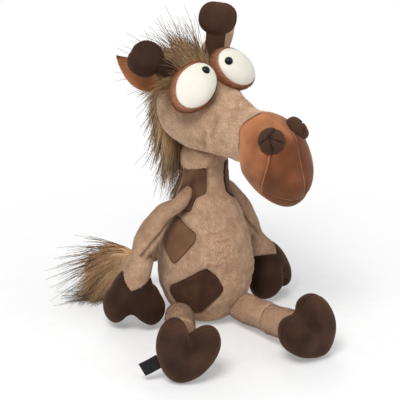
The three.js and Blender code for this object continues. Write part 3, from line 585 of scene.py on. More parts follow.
# For each spot: the turn and the height of its middle, and its corners from there in millimetres.
SPOTS = {
    "spot_neck_right": (
        -60, 0.166, [(-20, -14), (-14, 28), (20, 28), (20, -2), (8, -8), (5, -24), (-4, -26)]
    ),
    "spot_neck_left": (82, 0.166, [(-20, 28), (-22, -6), (-6, -20), (12, -18), (20, 4), (14, 28)]),
    "spot_side_right": (-58, 0.100, [(-17, 36), (19.5, 21.5), (21, 13), (-3.5, -19.5), (-34, 3)]),
    "spot_belly": (-32, 0.050, [(-40, 0), (10, 34), (23.5, 22), (32.5, 4), (2.5, -29), (-24, -27)]),
    "spot_side_left": (88, 0.068, [(-20, 4), (-2, 20), (20, 10), (16, -16), (-10, -20)]),
    "spot_back": (150, 0.092, [(-24, -8), (-12, 22), (14, 20), (22, -10), (0, -26)]),
}


def rounded_outline(corners, steps=9):
    """A closed outline through the corners, in millimetres, with each corner drawn as a curve."""
    corners = np.array(corners, float)
    outline = []
    for i, corner in enumerate(corners):
        enter = corner + SPOT_ROUNDING * (corners[i - 1] - corner)
        leave = corner + SPOT_ROUNDING * (corners[(i + 1) % len(corners)] - corner)
        for t in np.linspace(0, 1, steps):
            outline.append((1 - t) ** 2 * enter + 2 * t * (1 - t) * corner + t ** 2 * leave)
        ahead = corners[(i + 1) % len(corners)]
        arrive = ahead + SPOT_ROUNDING * (corner - ahead)
        for t in np.linspace(0, 1, steps)[1:-1]:
            outline.append(leave + t * (arrive - leave))
    return np.array(outline) / 1000


def body_outward(turn, height):
    """The body's outward direction at a place on it."""
    step = 0.0005
    slope = (body_radius(height + step) - body_radius(height - step)) / (2 * step)
    turn = np.radians(turn)
    return unit(np.stack([np.sin(turn), -np.cos(turn), -slope + 0 * turn], axis=-1))


def spot_places(name, shrink):
    """Turns and heights on the body along a spot's outline, drawn in towards its middle."""
    turn, height, corners = SPOTS[name]
    outline = rounded_outline(corners)
    middle = outline.mean(axis=0)
    flat = middle + (outline - middle) * shrink
    heights = np.minimum(height + flat[:, 1], NECK_TOP - 0.0005)
    return turn + np.degrees(flat[:, 0] / body_radius(height)), heights


print("spots", len(SPOTS))

# %% [markdown]
# ## Body skin
# The skin itself is a fine grid. Seams run up it between its panels, each spot's edge is drawn in, and the
# cloth is a little lumpy over its filling. On the belly the plush is curly, so there the surface is pebbled
# as well.

# %% Body skin
BODY_ROWS, BODY_COLUMNS = 150, 192
BODY_SEAMS = [
    on_body(np.full(80, turn), np.linspace(low, NECK_TOP, 80))
    for turn, low in ((-17, 0.085), (50, 0.02), (118, 0.02), (-122, 0.02))
] + [on_body(np.linspace(-17, 18, 40), np.full(40, 0.120))]
BODY_SEAM = (0.0019, 0.0014)  # width and depth
SPOT_SEAM = (0.0022, 0.0014)
SEAT_EDGE = 0.012  # seams and lumps fade out below this height, so the seat is flat
CURLY_TURN, CURLY_HEIGHT = (-2, 20), (0.102, 0.017)  # the middle of the curly place and how far it reaches


def curliness(places):
    """One inside the curly place on the belly, and zero away from it."""
    turns = np.degrees(np.arctan2(places[..., 0], -places[..., 1]))
    aside = (turns - CURLY_TURN[0]) / CURLY_TURN[1]
    rise = (places[..., 2] - CURLY_HEIGHT[0]) / CURLY_HEIGHT[1]
    return np.exp(-aside ** 6 - rise ** 6)


seat_rows = np.linspace(0.1, 1, 8)[:-1]
body_heights = np.linspace(0, NECK_TOP, BODY_ROWS)
body_turns = full_turn(BODY_COLUMNS, 360)
turn_grid, height_grid = np.meshgrid(body_turns, body_heights)
body_points = on_body(turn_grid, height_grid)
seat_points = np.stack([body_points[0] * [share, share, 1] for share in seat_rows])
body_points = np.concatenate([seat_points, body_points])
above_seat = smooth(body_points[..., 2] / SEAT_EDGE)
press = swell(body_points)
press += curliness(body_points) * (0.0008 + lumps(body_points, 0.0042, 0.0024, 6.3))
for seam in BODY_SEAMS:
    press += groove(body_points, seam, *BODY_SEAM)
for spot_name in SPOTS:
    press += groove(body_points, on_body(*spot_places(spot_name, 1.0)), *SPOT_SEAM)
body_points = pressed(body_points, press * above_seat)
body = grid_object("body", body_points, tan_backing)
dress(body, "torso", ["body_skin", "body_filling"])

# %% [markdown]
# ## Spots
# Each spot is a patch of velour. Rings shrink from its outline to its middle, and its edge dips into the
# plush like a seam. Its nap lies its own way, so some spots look lighter than others.

# %% Spots
SPOT_LIFT, SPOT_EDGE, SPOT_TUCK = 0.0013, 0.0002, -0.0028  # heights: on top, at the edge, under the plush
SPOT_SHOULDER = 0.85  # the ring where a spot starts to fall to its edge
SPOT_NAP = {"spot_neck_right": 0.02, "spot_side_right": 0.34, "spot_belly": -0.22}
SPOT_RINGS = (
    1.0, 0.985, 0.96, 0.93, 0.89, 0.85, 0.79, 0.72, 0.64, 0.56, 0.48, 0.40, 0.32, 0.24, 0.16, 0.08,
)

for spot_name in SPOTS:
    rings = []
    for shrink in SPOT_RINGS:
        turns, heights = spot_places(spot_name, shrink)
        past_shoulder = max(0, (shrink - SPOT_SHOULDER) / (1 - SPOT_SHOULDER))
        lift = SPOT_EDGE + (SPOT_LIFT - SPOT_EDGE) * math.sqrt(max(0, 1 - past_shoulder ** 2))
        if shrink == 1.0:
            lift = SPOT_TUCK
        flat = on_body(turns, heights)
        rings.append(flat + body_outward(turns, heights) * (lift + swell(flat))[:, None])
    rings = np.stack(rings)
    rings = rings + unit(rings * [1, 1, 0]) * lumps(rings, 0.020, 0.0007, 2.4)[..., None]
    patch = grid_object(spot_name, rings, patch_velour, start_cap=False)
    # painted shade: the outer rings, where the edge tucks under the plush, are darker
    edge_shade = np.where(np.array(SPOT_RINGS) > 0.95, -0.35, 0.0)
    streaks = lumps(rings * [1, 1, 0.5], 0.007, 0.16, 3.7)
    paint_nap_and_light(patch, SPOT_NAP.get(spot_name, 0.0) + edge_shade[:, None] + streaks)
    dress(patch, "torso", [spot_name])

# %% [markdown]
# ## Neck roll
# The head sits on a stuffed roll, which shows as a double chin. A ball flattened below is enough, because
# the head hides its top. It slants with the head's weight, so it shows more on the toy's right.

# %% Neck roll
ROLL_RADIUS, ROLL_DROP, ROLL_SLANT = 0.0280, 0.0062, 0.20
ROLL_SLANT_WAY = np.array([0.93, -0.37, 0.0])
roll_rows, roll_columns = 40, 96
roll_tilt = np.linspace(-math.asin(ROLL_DROP / ROLL_RADIUS) - 0.35, math.pi / 2 - 0.1, roll_rows)
roll_turn = full_turn(roll_columns)
tilt_grid, roll_grid = np.meshgrid(roll_tilt, roll_turn, indexing="ij")
roll_points = np.stack([
    np.cos(tilt_grid) * np.sin(roll_grid),
    -np.cos(tilt_grid) * np.cos(roll_grid),
    np.sin(tilt_grid),
], axis=-1) * ROLL_RADIUS + NECK_CENTRE
roll_points[..., 2] = np.maximum(roll_points[..., 2], NECK_CENTRE[2] - ROLL_DROP)
roll_points[..., 2] += ROLL_SLANT * ((roll_points - NECK_CENTRE) @ ROLL_SLANT_WAY)
roll_points += unit(roll_points - NECK_CENTRE) * lumps(roll_points, 0.016, 0.0014, 5.7)[..., None]
neck_roll = grid_object("neck_roll", roll_points, tan_backing)
dress(neck_roll, "neck", ["neck_roll"])

# %% [markdown]
# ## Head and muzzle
# The skull swells behind and narrows to the snout, where the tan plush meets the drooping rust muzzle. They
# could be two balls, but then their edges would not fit. So both are one run of cross-sections, cut in two
# along a wavy seam.

# %% Forms of head and muzzle
HEAD_YAW, HEAD_ROLL = math.radians(23), math.radians(-6)
head_turn = np.array(Matrix.Rotation(HEAD_YAW, 3, "Z") @ Matrix.Rotation(HEAD_ROLL, 3, "Y"))
CRANIUM_BEHIND, CRANIUM_ABOVE, CRANIUM_LENGTH = 0.010, 0.057, 0.042
CRANIUM_HALF_WIDTH, CRANIUM_HALF_HEIGHT = 0.042, 0.047
SEAM_AHEAD, SEAM_ABOVE, SEAM_HALF = 0.080, 0.042, 0.029
MUZZLE_HALF_WIDTH, MUZZLE_HALF_DEPTH = 0.038, 0.040
MUZZLE_AHEAD, MUZZLE_DROP = 0.044, 0.070
MUZZLE_FULL, MUZZLE_BLUNT, MUZZLE_ROUNDING = 0.35, 2.2, 1.7
EDGE_RIDGE, EDGE_DIP, EDGE_CHIN = 0.056, 0.050, 0.07  # shares of the muzzle's length
EDGE_CORNER, EDGE_CORNER_WIDTH = 50, 24  # degrees from the muzzle's ridge
CRANIUM_BACK = -CRANIUM_BEHIND - CRANIUM_LENGTH


def from_head(points):
    """From the head's own axes (x to its left, -y ahead, z up, from the neck's middle) to the toy's."""
    return np.asarray(points) @ head_turn.T + NECK_CENTRE


def head_point(ahead, angle):
    """A point on the skull; angle is in degrees from its top towards the toy's left."""
    ahead, angle = np.broadcast_arrays(np.asarray(ahead, float), np.radians(angle))
    share = np.clip((-CRANIUM_BEHIND - ahead) / CRANIUM_LENGTH, 0, 1)
    dome = np.sqrt(1 - share ** 2)
    ease = smooth((ahead + CRANIUM_BEHIND) / (SEAM_AHEAD + CRANIUM_BEHIND))
    rear = ahead <= -CRANIUM_BEHIND
    above = CRANIUM_ABOVE + (SEAM_ABOVE - CRANIUM_ABOVE) * ease
    narrowing = CRANIUM_HALF_WIDTH + (SEAM_HALF - CRANIUM_HALF_WIDTH) * ease
    lowering = CRANIUM_HALF_HEIGHT + (SEAM_HALF - CRANIUM_HALF_HEIGHT) * ease
    across = np.where(rear, CRANIUM_HALF_WIDTH * dome, narrowing)
    tall = np.where(rear, CRANIUM_HALF_HEIGHT * dome, lowering)
    return np.stack([across * np.sin(angle), -ahead, above + tall * np.cos(angle)], axis=-1)


bend = np.linspace(0, np.pi / 2, 300)
muzzle_line = np.stack([
    0 * bend,
    -SEAM_AHEAD - MUZZLE_AHEAD * np.sin(bend),
    SEAM_ABOVE - MUZZLE_DROP * (1 - np.cos(bend)),
], axis=1)
muzzle_run = np.concatenate([[0], np.cumsum(np.linalg.norm(np.diff(muzzle_line, axis=0), axis=1))])
MUZZLE_LENGTH = muzzle_run[-1]
muzzle_run = muzzle_run / MUZZLE_LENGTH
muzzle_way = unit(np.gradient(muzzle_line, axis=0))


def muzzle_point(share, angle):
    """A point on the muzzle: its share of the way from the seam to the end, and degrees from its ridge."""
    share, angle = np.broadcast_arrays(np.asarray(share, float), np.radians(angle))
    middle = np.stack([np.interp(share, muzzle_run, muzzle_line[:, k]) for k in range(3)], axis=-1)
    way = unit(np.stack([np.interp(share, muzzle_run, muzzle_way[:, k]) for k in range(3)], axis=-1))
    across = np.zeros_like(way) + [1.0, 0, 0]
    rise = np.cross(way, across)
    grow = np.sin(np.pi / 2 * np.clip(share / MUZZLE_FULL, 0, 1))
    past_full = np.clip((share - MUZZLE_FULL) / (1 - MUZZLE_FULL), 0, 1)
    close = (1 - past_full ** MUZZLE_BLUNT) ** (1 / MUZZLE_ROUNDING)
    wide = (SEAM_HALF + (MUZZLE_HALF_WIDTH - SEAM_HALF) * grow) * close
    deep = (SEAM_HALF + (MUZZLE_HALF_DEPTH - SEAM_HALF) * grow) * close
    return middle + across * (wide * np.sin(angle))[..., None] + rise * (deep * np.cos(angle))[..., None]


def muzzle_edge(angle):
    """How far along the muzzle the tan plush reaches: a wavy seam, furthest back at two corners."""
    level = np.cos(np.radians(angle))
    from_ridge = np.degrees(np.arccos(np.clip(level, -1, 1)))
    corner = np.exp(-(((from_ridge - EDGE_CORNER) / EDGE_CORNER_WIDTH) ** 2))
    return EDGE_RIDGE - EDGE_DIP * corner + EDGE_CHIN * (0.5 - 0.5 * level) ** 2


print("muzzle", round(MUZZLE_LENGTH, 4), "m along")

# %% [markdown]
# ## Head skin
# The cheek on the toy's right is creased where the head was pressed. A line across the skin is enough for a
# crease: a groove is pressed in along it, and the same line later thins the plush there and darkens it with
# painted shade.

# %% Head skin
HEAD_COLUMNS = 168
HEAD_CREASES = [
    dict(ahead=(0.0516, 0.0466), angle=(-50, -95), depth=0.0040),
    dict(ahead=(0.0385, 0.0290), angle=(-89, -134), depth=0.0036),
]  # on the cheek and along the jaw, each from its first end to its last
CREASE_WIDTH, CREASE_SHADE_WIDTH = 0.0036, 0.0026
head_angles = full_turn(HEAD_COLUMNS, 360)
skull_steps = CRANIUM_BACK + (SEAM_AHEAD - CRANIUM_BACK) * np.linspace(0.004, 1, 84) ** 1.35
skull = head_point(skull_steps[:, None], head_angles[None, :])
bridge_shares = np.linspace(0.15, 1, 6)[:, None] * muzzle_edge(head_angles)[None, :]
bridge = muzzle_point(bridge_shares, head_angles[None, :])
head_points = from_head(np.concatenate([skull, bridge]))
press = lumps(head_points, 0.030, 0.0020, 9.3) + lumps(head_points, 0.011, 0.0008, 4.6)
crease_lines = []
for crease in HEAD_CREASES:
    line = from_head(head_point(np.linspace(*crease["ahead"], 30), np.linspace(*crease["angle"], 30)))
    press += groove(head_points, line, CREASE_WIDTH, crease["depth"])
    crease_lines.append(line)
head_folds = near(head_points, crease_lines, CREASE_SHADE_WIDTH)
chin_seam = from_head(head_point(np.linspace(-0.03, SEAM_AHEAD, 60), np.full(60, 180)))
press += groove(head_points, chin_seam, 0.0018, 0.0012)
snout_seam = from_head(muzzle_point(muzzle_edge(head_angles), head_angles))
press += groove(head_points, snout_seam, 0.0016, 0.0005)
head_points = pressed(head_points, press)
head = grid_object("head", head_points, tan_backing, end_cap=False)
dress(head, "head", ["head_skin", "head_filling"])
print("deepest fold", round(float(press.min()), 4), "m")

# %% [markdown]
# ## Muzzle skin
# The muzzle is sewn from panels of rust velour. Their seams run down from the nostrils and along the mouth.
# Each is a low ridge of stitching in a wide shallow furrow, and the first rows of the skin tuck in under
# the plush.

# %% Muzzle skin
MUZZLE_COLUMNS = 288
muzzle_angles = full_turn(MUZZLE_COLUMNS, 360)
muzzle_shares = np.concatenate([[-0.03, -0.012], np.sin(np.pi / 2 * np.linspace(0, 0.998, 130))])
edge = muzzle_edge(muzzle_angles)[None, :]
share_grid = edge + (1 - edge) * muzzle_shares[:, None]
muzzle_points = from_head(muzzle_point(share_grid, muzzle_angles[None, :]))


def muzzle_seam(knots, count=90):
    """A seam on the muzzle through (share, angle) knots."""
    knots = np.array(knots, float)
    run = np.linspace(0, 1, len(knots))
    fine = np.linspace(0, 1, count)
    return from_head(muzzle_point(np.interp(fine, run, knots[:, 0]), np.interp(fine, run, knots[:, 1])))


STITCH_RIDGE, STITCH_WIDTH = 0.0007, 0.0010
FURROW_DEPTH, FURROW_WIDTH = 0.0012, 0.0032
TUCKED_ROWS = [[-0.0018], [-0.0009]]
SIDE_SEAM = [(0.35, 47), (0.44, 61), (0.53, 75), (0.60, 85), (0.69, 97)]
MIDDLE_SEAM = [(0.21, 17), (0.34, 8), (0.45, -2), (0.58, -6), (0.72, -4), (0.85, 0)]
MOUTH_SEAM = [(0.69, 97), (0.76, 73), (0.806, 55), (0.84, 37), (0.855, 20), (0.85, 0)]
muzzle_seams = [muzzle_seam(MIDDLE_SEAM)]
for knots in (SIDE_SEAM, MOUTH_SEAM):
    muzzle_seams.append(muzzle_seam(knots))
    muzzle_seams.append(muzzle_seam([(share, -angle) for share, angle in knots]))
press = lumps(muzzle_points, 0.040, 0.0012, 1.7)
seam_distance = np.min([distance_to(muzzle_points, seam) for seam in muzzle_seams], axis=0)
ridge = STITCH_RIDGE * np.exp(-((seam_distance / STITCH_WIDTH) ** 2))
furrow = FURROW_DEPTH * np.exp(-((seam_distance / FURROW_WIDTH) ** 2))
press += ridge - furrow
press += groove(muzzle_points, snout_seam, 0.0016, 0.0007)
press[:len(TUCKED_ROWS)] = TUCKED_ROWS
muzzle_points = pressed(muzzle_points, press)
muzzle = grid_object("muzzle", muzzle_points, rust_velour, start_cap=False)
print("muzzle seams", len(muzzle_seams))

# %% [markdown]
# ## Muzzle nap and painted light
# The front panel is darker, for its nap and for painted shade where it faces down, and the rim is lighter
# with painted light. The toy's left side has painted shade, and the thread of a seam is a painted highlight
# between two lines of painted shade in its furrow. A number for each point of the skin carries this, with
# soft patches of nap, to the finish.

# %% Muzzle nap and painted light
angle_grid = np.broadcast_to((muzzle_angles + 180) % 360 - 180, share_grid.shape)
panel_edge = np.interp(share_grid, *np.array(SIDE_SEAM).T)
in_panel = smooth((panel_edge - np.abs(angle_grid)) / 6 + 0.5) * smooth((share_grid - 0.24) / 0.18)
near_rim = np.exp(-(((share_grid - edge) / 0.13) ** 2))
left_side = angle_grid > 0
# painted light on the rim, and painted shade on the front panel and on the toy's left side
muzzle_nap_and_light = 0.06 + 0.32 * near_rim - 0.34 * in_panel - 0.12 * left_side
muzzle_nap_and_light += lumps(muzzle_points, 0.012, 0.16, 6.6)
thread = np.exp(-((seam_distance / 0.0008) ** 2))
beside_thread = np.exp(-((seam_distance / 0.0028) ** 2))
# painted highlight on the stitched ridge, and painted shade in the furrow beside it
muzzle_nap_and_light += 0.65 * thread - 0.22 * beside_thread
paint_nap_and_light(muzzle, muzzle_nap_and_light)
dress(muzzle, "head", ["muzzle_skin", "muzzle_filling"])

# %% [markdown]
# ## Nostrils
# Each nostril is a stuffed disc of velour drawn together by a thread, so folds run out from the pinch and
# the cloth puffs up between them. The pinch sits a little off the middle.

# %% Nostrils
NOSTRIL_RADIUS, NOSTRIL_RISE = 0.0148, 0.0092
NOSTRIL_SHARE, NOSTRIL_SPREAD = 0.275, 33
NOSTRIL_PUFFS, NOSTRIL_FOLD, NOSTRIL_PINCH = 4, 0.0019, 0.0042


def frame_towards(normal, hint):
    """Three axes: across, up and outwards, with outwards along the normal and up near the hint."""
    normal = unit(np.asarray(normal, float))
    across = unit(np.cross(hint, normal))
    return across, np.cross(normal, across), normal


for side, side_name in SIDES:
    spread = side * NOSTRIL_SPREAD
    middle = from_head(muzzle_point(NOSTRIL_SHARE, spread))
    across = muzzle_point(NOSTRIL_SHARE, spread + 0.5) - muzzle_point(NOSTRIL_SHARE, spread)
    along = muzzle_point(NOSTRIL_SHARE + 0.01, spread) - muzzle_point(NOSTRIL_SHARE, spread)
    outwards = unit(np.cross(along, across) @ head_turn.T)
    if np.dot(outwards, middle - from_head([0, -SEAM_AHEAD - 0.02, SEAM_ABOVE - 0.02])) < 0:
        outwards = -outwards
    right, top, outwards = frame_towards(outwards, UP)
    rows, nap_and_fold_shade = [], []
    turns = full_turn(120)
    ring = circle(turns, right, top)
    fold = np.exp(-((np.sin(NOSTRIL_PUFFS / 2 * turns + 0.9 * np.sin(turns + 1)) / 0.30) ** 2))
    for tilt in np.linspace(-0.35, np.pi / 2 - 0.02, 40):
        inner = 1 - math.cos(tilt)
        radius = NOSTRIL_RADIUS * math.cos(tilt) * (1 - 0.07 * fold)
        drawn = fold * math.sin(math.pi * min(1, inner ** 0.6))
        pinch = NOSTRIL_PINCH * math.exp(-((math.cos(tilt) / 0.22) ** 2))
        dome = NOSTRIL_RISE * math.copysign(abs(math.sin(tilt)) ** 0.8, tilt)
        rise = dome - pinch - NOSTRIL_FOLD * drawn
        off_middle = (top * 0.0014 - right * 0.0022) * inner
        rows.append(middle + off_middle + ring * radius[:, None] + np.outer(rise, outwards))
        # painted shade: darker in the folds and at the pinch
        nap_and_fold_shade.append(0.12 - 0.34 * drawn - pinch / NOSTRIL_PINCH * 0.25)
    pad = grid_object(f"nostril_{side_name}", np.stack(rows), brown_velour)
    paint_nap_and_light(pad, np.stack(nap_and_fold_shade))
    dress(pad, "head", [f"nostril_{side_name}"])

# %% [markdown]
# ## Eyes
# An eye is a stuffed oval: a white front sewn to a rust back, and a black button for the pupil. The front
# swells a little past the seam, and the seam is drawn in, so the two cloths meet in a crease.

# %% Eyes
EYES = {
    "right": dict(place=(-0.0335, -0.0250, 0.0990), turn=(-30, 56, -17), size=1.0, pupil=(-0.0033, 0.0178)),
    "left": dict(place=(0.0275, -0.0250, 0.1000), turn=(-29, -42, 2), size=0.93, pupil=(-0.0038, 0.0174)),
}
EYE_LENGTH, EYE_WIDTH, EYE_DEPTH = 0.062, 0.047, 0.040
EYE_SEAM = 0.40
PUPIL_RADIUS, PUPIL_STANDS_OUT = 0.0046, 0.0038
WASHER_HOLE, WASHER_RADIUS, WASHER_THICK, WASHER_BEHIND = 0.0022, 0.0058, 0.0012, 0.0050
eye_backs = {}
eye_fronts = {}


def washer(name, middle, right, top, outwards):
    """A flat ring with square edges, closed all round."""
    turns = full_turn(40)
    section = [
        (WASHER_HOLE, 0), (WASHER_RADIUS, 0),
        (WASHER_RADIUS, WASHER_THICK), (WASHER_HOLE, WASHER_THICK),
    ]
    ring = circle(turns, right, top)
    vertices = np.concatenate([middle + ring * radius + outwards * rise for radius, rise in section])
    faces = []
    for i in range(len(section)):
        for j in range(len(turns)):
            here, there = i * len(turns), (i + 1) % len(section) * len(turns)
            after = (j + 1) % len(turns)
            faces.append((here + j, there + j, there + after, here + after))
    return mesh_object(name, vertices, faces, washer_nylon)


for side, side_name in SIDES:
    eye = EYES[side_name]
    tilt, lean, splay = (math.radians(value) for value in eye["turn"])
    turned = Matrix.Rotation(splay, 3, "Z") @ Matrix.Rotation(tilt, 3, "X")
    turned = np.array(turned @ Matrix.Rotation(lean, 3, "Y"))
    eye_fronts[side_name] = head_turn @ turned @ np.array([0.0, -1.0, 0.0])

    def from_eye(points):
        """From the eye's own axes to the toy's."""
        return from_head(eye["size"] * np.asarray(points) @ turned.T + eye["place"])

    turns = full_turn(128)
    for part, tilts, finish, slot_name in (
        ("white", np.linspace(EYE_SEAM, np.pi / 2 - 0.02, 44), white_velour, "white_velour"),
        ("back", np.linspace(EYE_SEAM, -np.pi / 2 + 0.02, 56), rust_velour, "rust_velour"),
    ):
        tilt_grid, turn_grid = np.meshgrid(tilts, turns, indexing="ij")
        oval = np.stack([
            EYE_WIDTH / 2 * np.cos(tilt_grid) * np.cos(turn_grid),
            -EYE_DEPTH / 2 * np.sin(tilt_grid),
            EYE_LENGTH / 2 * np.cos(tilt_grid) * np.sin(turn_grid),
        ], axis=-1)
        rim = np.exp(-(((tilt_grid - EYE_SEAM) / 0.06) ** 2))
        oval *= (1.01 - 0.05 * rim)[..., None]
        points = from_eye(oval)
        points = pressed(points, lumps(points, 0.020, 0.0006, 4.2 + side))
        cap = grid_object(f"eye_{part}_{side_name}", points, finish, start_cap=False)
        if part == "back":
            eye_backs[side_name] = cap
            # painted shade: the rust back is darker along its seam with the white
            paint_nap_and_light(cap, 0.05 - 0.15 * np.exp(-(((tilt_grid - EYE_SEAM) / 0.05) ** 2)))
        solids = [f"eye_{part}_{side_name}"]
        if part == "white":
            solids.append(f"eye_filling_{side_name}")
        dress(cap, "head", solids)

    half_long, half_wide, half_deep = EYE_LENGTH / 2, EYE_WIDTH / 2, EYE_DEPTH / 2
    aside, rise = eye["pupil"][0] / half_wide, eye["pupil"][1] / half_long
    out = -math.sqrt(1 - rise ** 2 - aside ** 2)
    seat = from_eye([aside * half_wide, out * half_deep, rise * half_long])
    slope = unit(np.array([aside / half_wide, out / half_deep, rise / half_long]) @ turned.T @ head_turn.T)
    right, top, outwards = frame_towards(slope, UP)
    ring = circle(turns, right, top)
    rows = []
    for tilt in np.concatenate([[-0.5, -0.2], np.linspace(0, np.pi / 2 - 0.02, 20)]):
        dome = outwards * PUPIL_STANDS_OUT * math.sin(tilt)
        rows.append(seat + ring * PUPIL_RADIUS * math.cos(tilt) + dome)
    button = grid_object(f"pupil_{side_name}", np.stack(rows), pupil_black)
    dress(button, "head", [f"pupil_{side_name}"])
    behind = seat - outwards * WASHER_BEHIND
    lock = washer(f"pupil_washer_{side_name}", behind, right, top, outwards)
    dress(lock, "head", [f"pupil_washer_{side_name}"])

# %% [markdown]
# ## Horns
# Two brown velour panels make each horn, a stem that ends in a round knob. Their seam runs round the edge,
# and shows as a low ridge between two shallow furrows. A ball on a rod would show a sharp step, so one
# curve of half widths leads from the stem into the knob. The right horn has flopped over, and the left one
# stands up.

# %% Horns
HORN_LENGTH = {"right": 0.057, "left": 0.066}
HORN_STEM_HALF = 0.0100
HORN_KNOB_HALF, HORN_KNOB_LENGTH, HORN_FLATNESS = 0.0204, 0.0355, 0.62
HORN_SINK = 0.005
HORN_SEAM = 0.0009
HORN_LEAN = {"right": (56, 45), "left": (12.5, -17)}  # degrees: down from upright, and back from sideways
HORN_FACING = unit(np.array([-math.sin(math.radians(45)), -math.cos(math.radians(45)), 0]))


def horn_half(share, length):
    """Half width along a horn, by its share of the length from the root to the knob's tip."""
    from_knob = (share * length - length + HORN_KNOB_LENGTH / 2) / (HORN_KNOB_LENGTH / 2)
    knob = HORN_KNOB_HALF * np.maximum(1 - np.abs(np.clip(from_knob, -1, 1)) ** 2.4, 0) ** (1 / 2.4)
    stem = np.where(from_knob < 0, HORN_STEM_HALF * np.minimum(1, np.sqrt(share * 20 + 0.02)), 0)
    return (knob ** 6 + stem ** 6) ** (1 / 6)


for side, side_name in SIDES:
    lean, away = (math.radians(value) for value in HORN_LEAN[side_name])
    root = head_turn.T @ (joint_at[f"{side_name}_horn_flop"] - NECK_CENTRE)
    sideways = np.array([side * math.cos(away), math.sin(away), 0])
    along = sideways * math.sin(lean) + UP * math.cos(lean)
    across = unit(np.cross(HORN_FACING, along))
    thick = np.cross(along, across)
    shares = np.concatenate([np.linspace(0, 0.7, 40), 1 - np.linspace(0.547, 0.0, 60)[1:] ** 2])
    shares = np.clip(shares, 0, 0.9995)
    length = HORN_SINK + HORN_STEM_HALF + HORN_LENGTH[side_name]
    halves = horn_half(shares, length)
    turns = full_turn(112)
    middle = root + np.outer(shares * length - HORN_STEM_HALF - HORN_SINK, along)
    ring = np.cos(turns)[:, None] * across + np.sin(turns)[:, None] * thick * HORN_FLATNESS
    points = from_head(middle[:, None, :] + ring[None] * halves[:, None, None])
    edge_share = np.abs(np.sin(turns))
    ridge = HORN_SEAM * np.exp(-((edge_share / 0.16) ** 2))
    furrows = HORN_SEAM * np.exp(-(((edge_share - 0.26) / 0.08) ** 2))
    rim = ridge - furrows
    tuck = np.minimum(halves / 0.006, 1)[:, None] * rim[None, :] + lumps(points, 0.018, 0.0009, 2.2 * side)
    points = pressed(points, tuck)
    horn = grid_object(f"horn_{side_name}", points, brown_velour)
    # painted highlight on the seam's ridge and painted shade in its furrows, with soft patches of nap
    paint_nap_and_light(horn, 0.13 * side - 0.02 + 270 * rim[None, :] + lumps(points, 0.022, 0.14, 5.5))
    dress(horn, f"{side_name}_horn", [f"horn_{side_name}"])

# %% [markdown]
# ## Ears
# An ear is a leaf of two cloths sewn edge to edge: tan plush behind and rust velour in front. It is cupped,
# so the lining is hollow along the middle and its edges roll forward. The left ear is twisted and its tip
# bends aside. Two open sheets are enough, because their edges meet.

# %% Ears
EAR_LENGTH = {"right": 0.059, "left": 0.066}
EAR_HALF_WIDTH = {"right": 0.0150, "left": 0.0170}
EAR_HALF_THICK, EAR_CUP = 0.0030, 0.0042
EAR_SINK = 0.10  # the share of its length that an ear runs on into the head
EAR_POSE = {"right": (48, 40, -48), "left": (-8, 33, 36)}  # degrees: back, up, and where the lining looks
EAR_TWIST = {"right": 0, "left": 75}  # degrees that the leaf turns from its root to its tip
EAR_SWAY = {"right": 0.0, "left": 0.012}  # how far the tip bends to the toy's left
ear_backs = {}

for side, side_name in SIDES:
    away, rise, look = (math.radians(value) for value in EAR_POSE[side_name])
    root = head_turn.T @ (joint_at[f"{side_name}_ear_droop"] - NECK_CENTRE)
    sideways = np.array([side * math.cos(away), math.sin(away), 0])
    along = sideways * math.cos(rise) + UP * math.sin(rise)
    shares = np.linspace(-EAR_SINK, 1, 60)
    looks = look + math.radians(EAR_TWIST[side_name]) * smooth(shares * 1.3)
    facing = np.stack([np.sin(looks), -np.cos(looks), 0 * looks], axis=1)
    facing = unit(facing - np.outer(facing @ along, along))
    across = np.cross(facing, along)
    halves = EAR_HALF_WIDTH[side_name] * np.sin(np.pi * np.clip(shares, 0.06, 0.997) ** 0.8) ** 0.8
    spread = np.linspace(-1, 1, 41)
    cup = -EAR_CUP * (1 - spread ** 2) * np.sin(np.pi * 0.5 * np.clip(shares * 1.6, 0, 1))[:, None]
    bend_back = -0.010 * shares ** 2 * (EAR_TWIST[side_name] == 0)
    middle = root + np.outer(shares * EAR_LENGTH[side_name], along) + bend_back[:, None] * facing
    middle[:, 0] += EAR_SWAY[side_name] * np.clip(shares, 0, 1) ** 2
    flat = middle[:, None, :] + (halves[:, None] * spread[None, :])[..., None] * across[:, None, :]
    rounded = np.sqrt(np.maximum(1 - spread ** 2, 0))[None, :]
    thin = EAR_HALF_THICK * rounded * np.minimum(halves / 0.012, 1)[:, None]
    for part, height, finish, slot_name in (
        ("lining", cup + thin * 0.35 + EAR_CUP * 0.6, rust_velour, "rust_velour"),
        ("back", cup - thin + EAR_CUP * 0.6, tan_backing, "tan_plush"),
    ):
        sheet = from_head(flat + height[..., None] * facing[:, None, :])
        quads = sheet_quads(*sheet.shape[:2])
        if part == "back":
            quads = [quad[::-1] for quad in quads]
        leaf = mesh_object(f"ear_{part}_{side_name}", sheet.reshape(-1, 3), quads, finish)
        if part == "back":
            ear_backs[side_name] = leaf
        else:
            # painted light: the lining is lighter towards its rolled edges
            paint_nap_and_light(leaf, 0.25 * np.broadcast_to(spread ** 4, sheet.shape[:2]))
        dress(leaf, f"{side_name}_ear", [f"ear_{part}_{side_name}"])

# %% [markdown]
# ## Arms
# Each arm is one stuffed run from the shoulder to the toes: a tan sleeve, then a dark hoof that flares like
# a bell. Their seam is a V on the front and back. The toes are parted by a cleft, made by drawing the
# middle of the tip up.

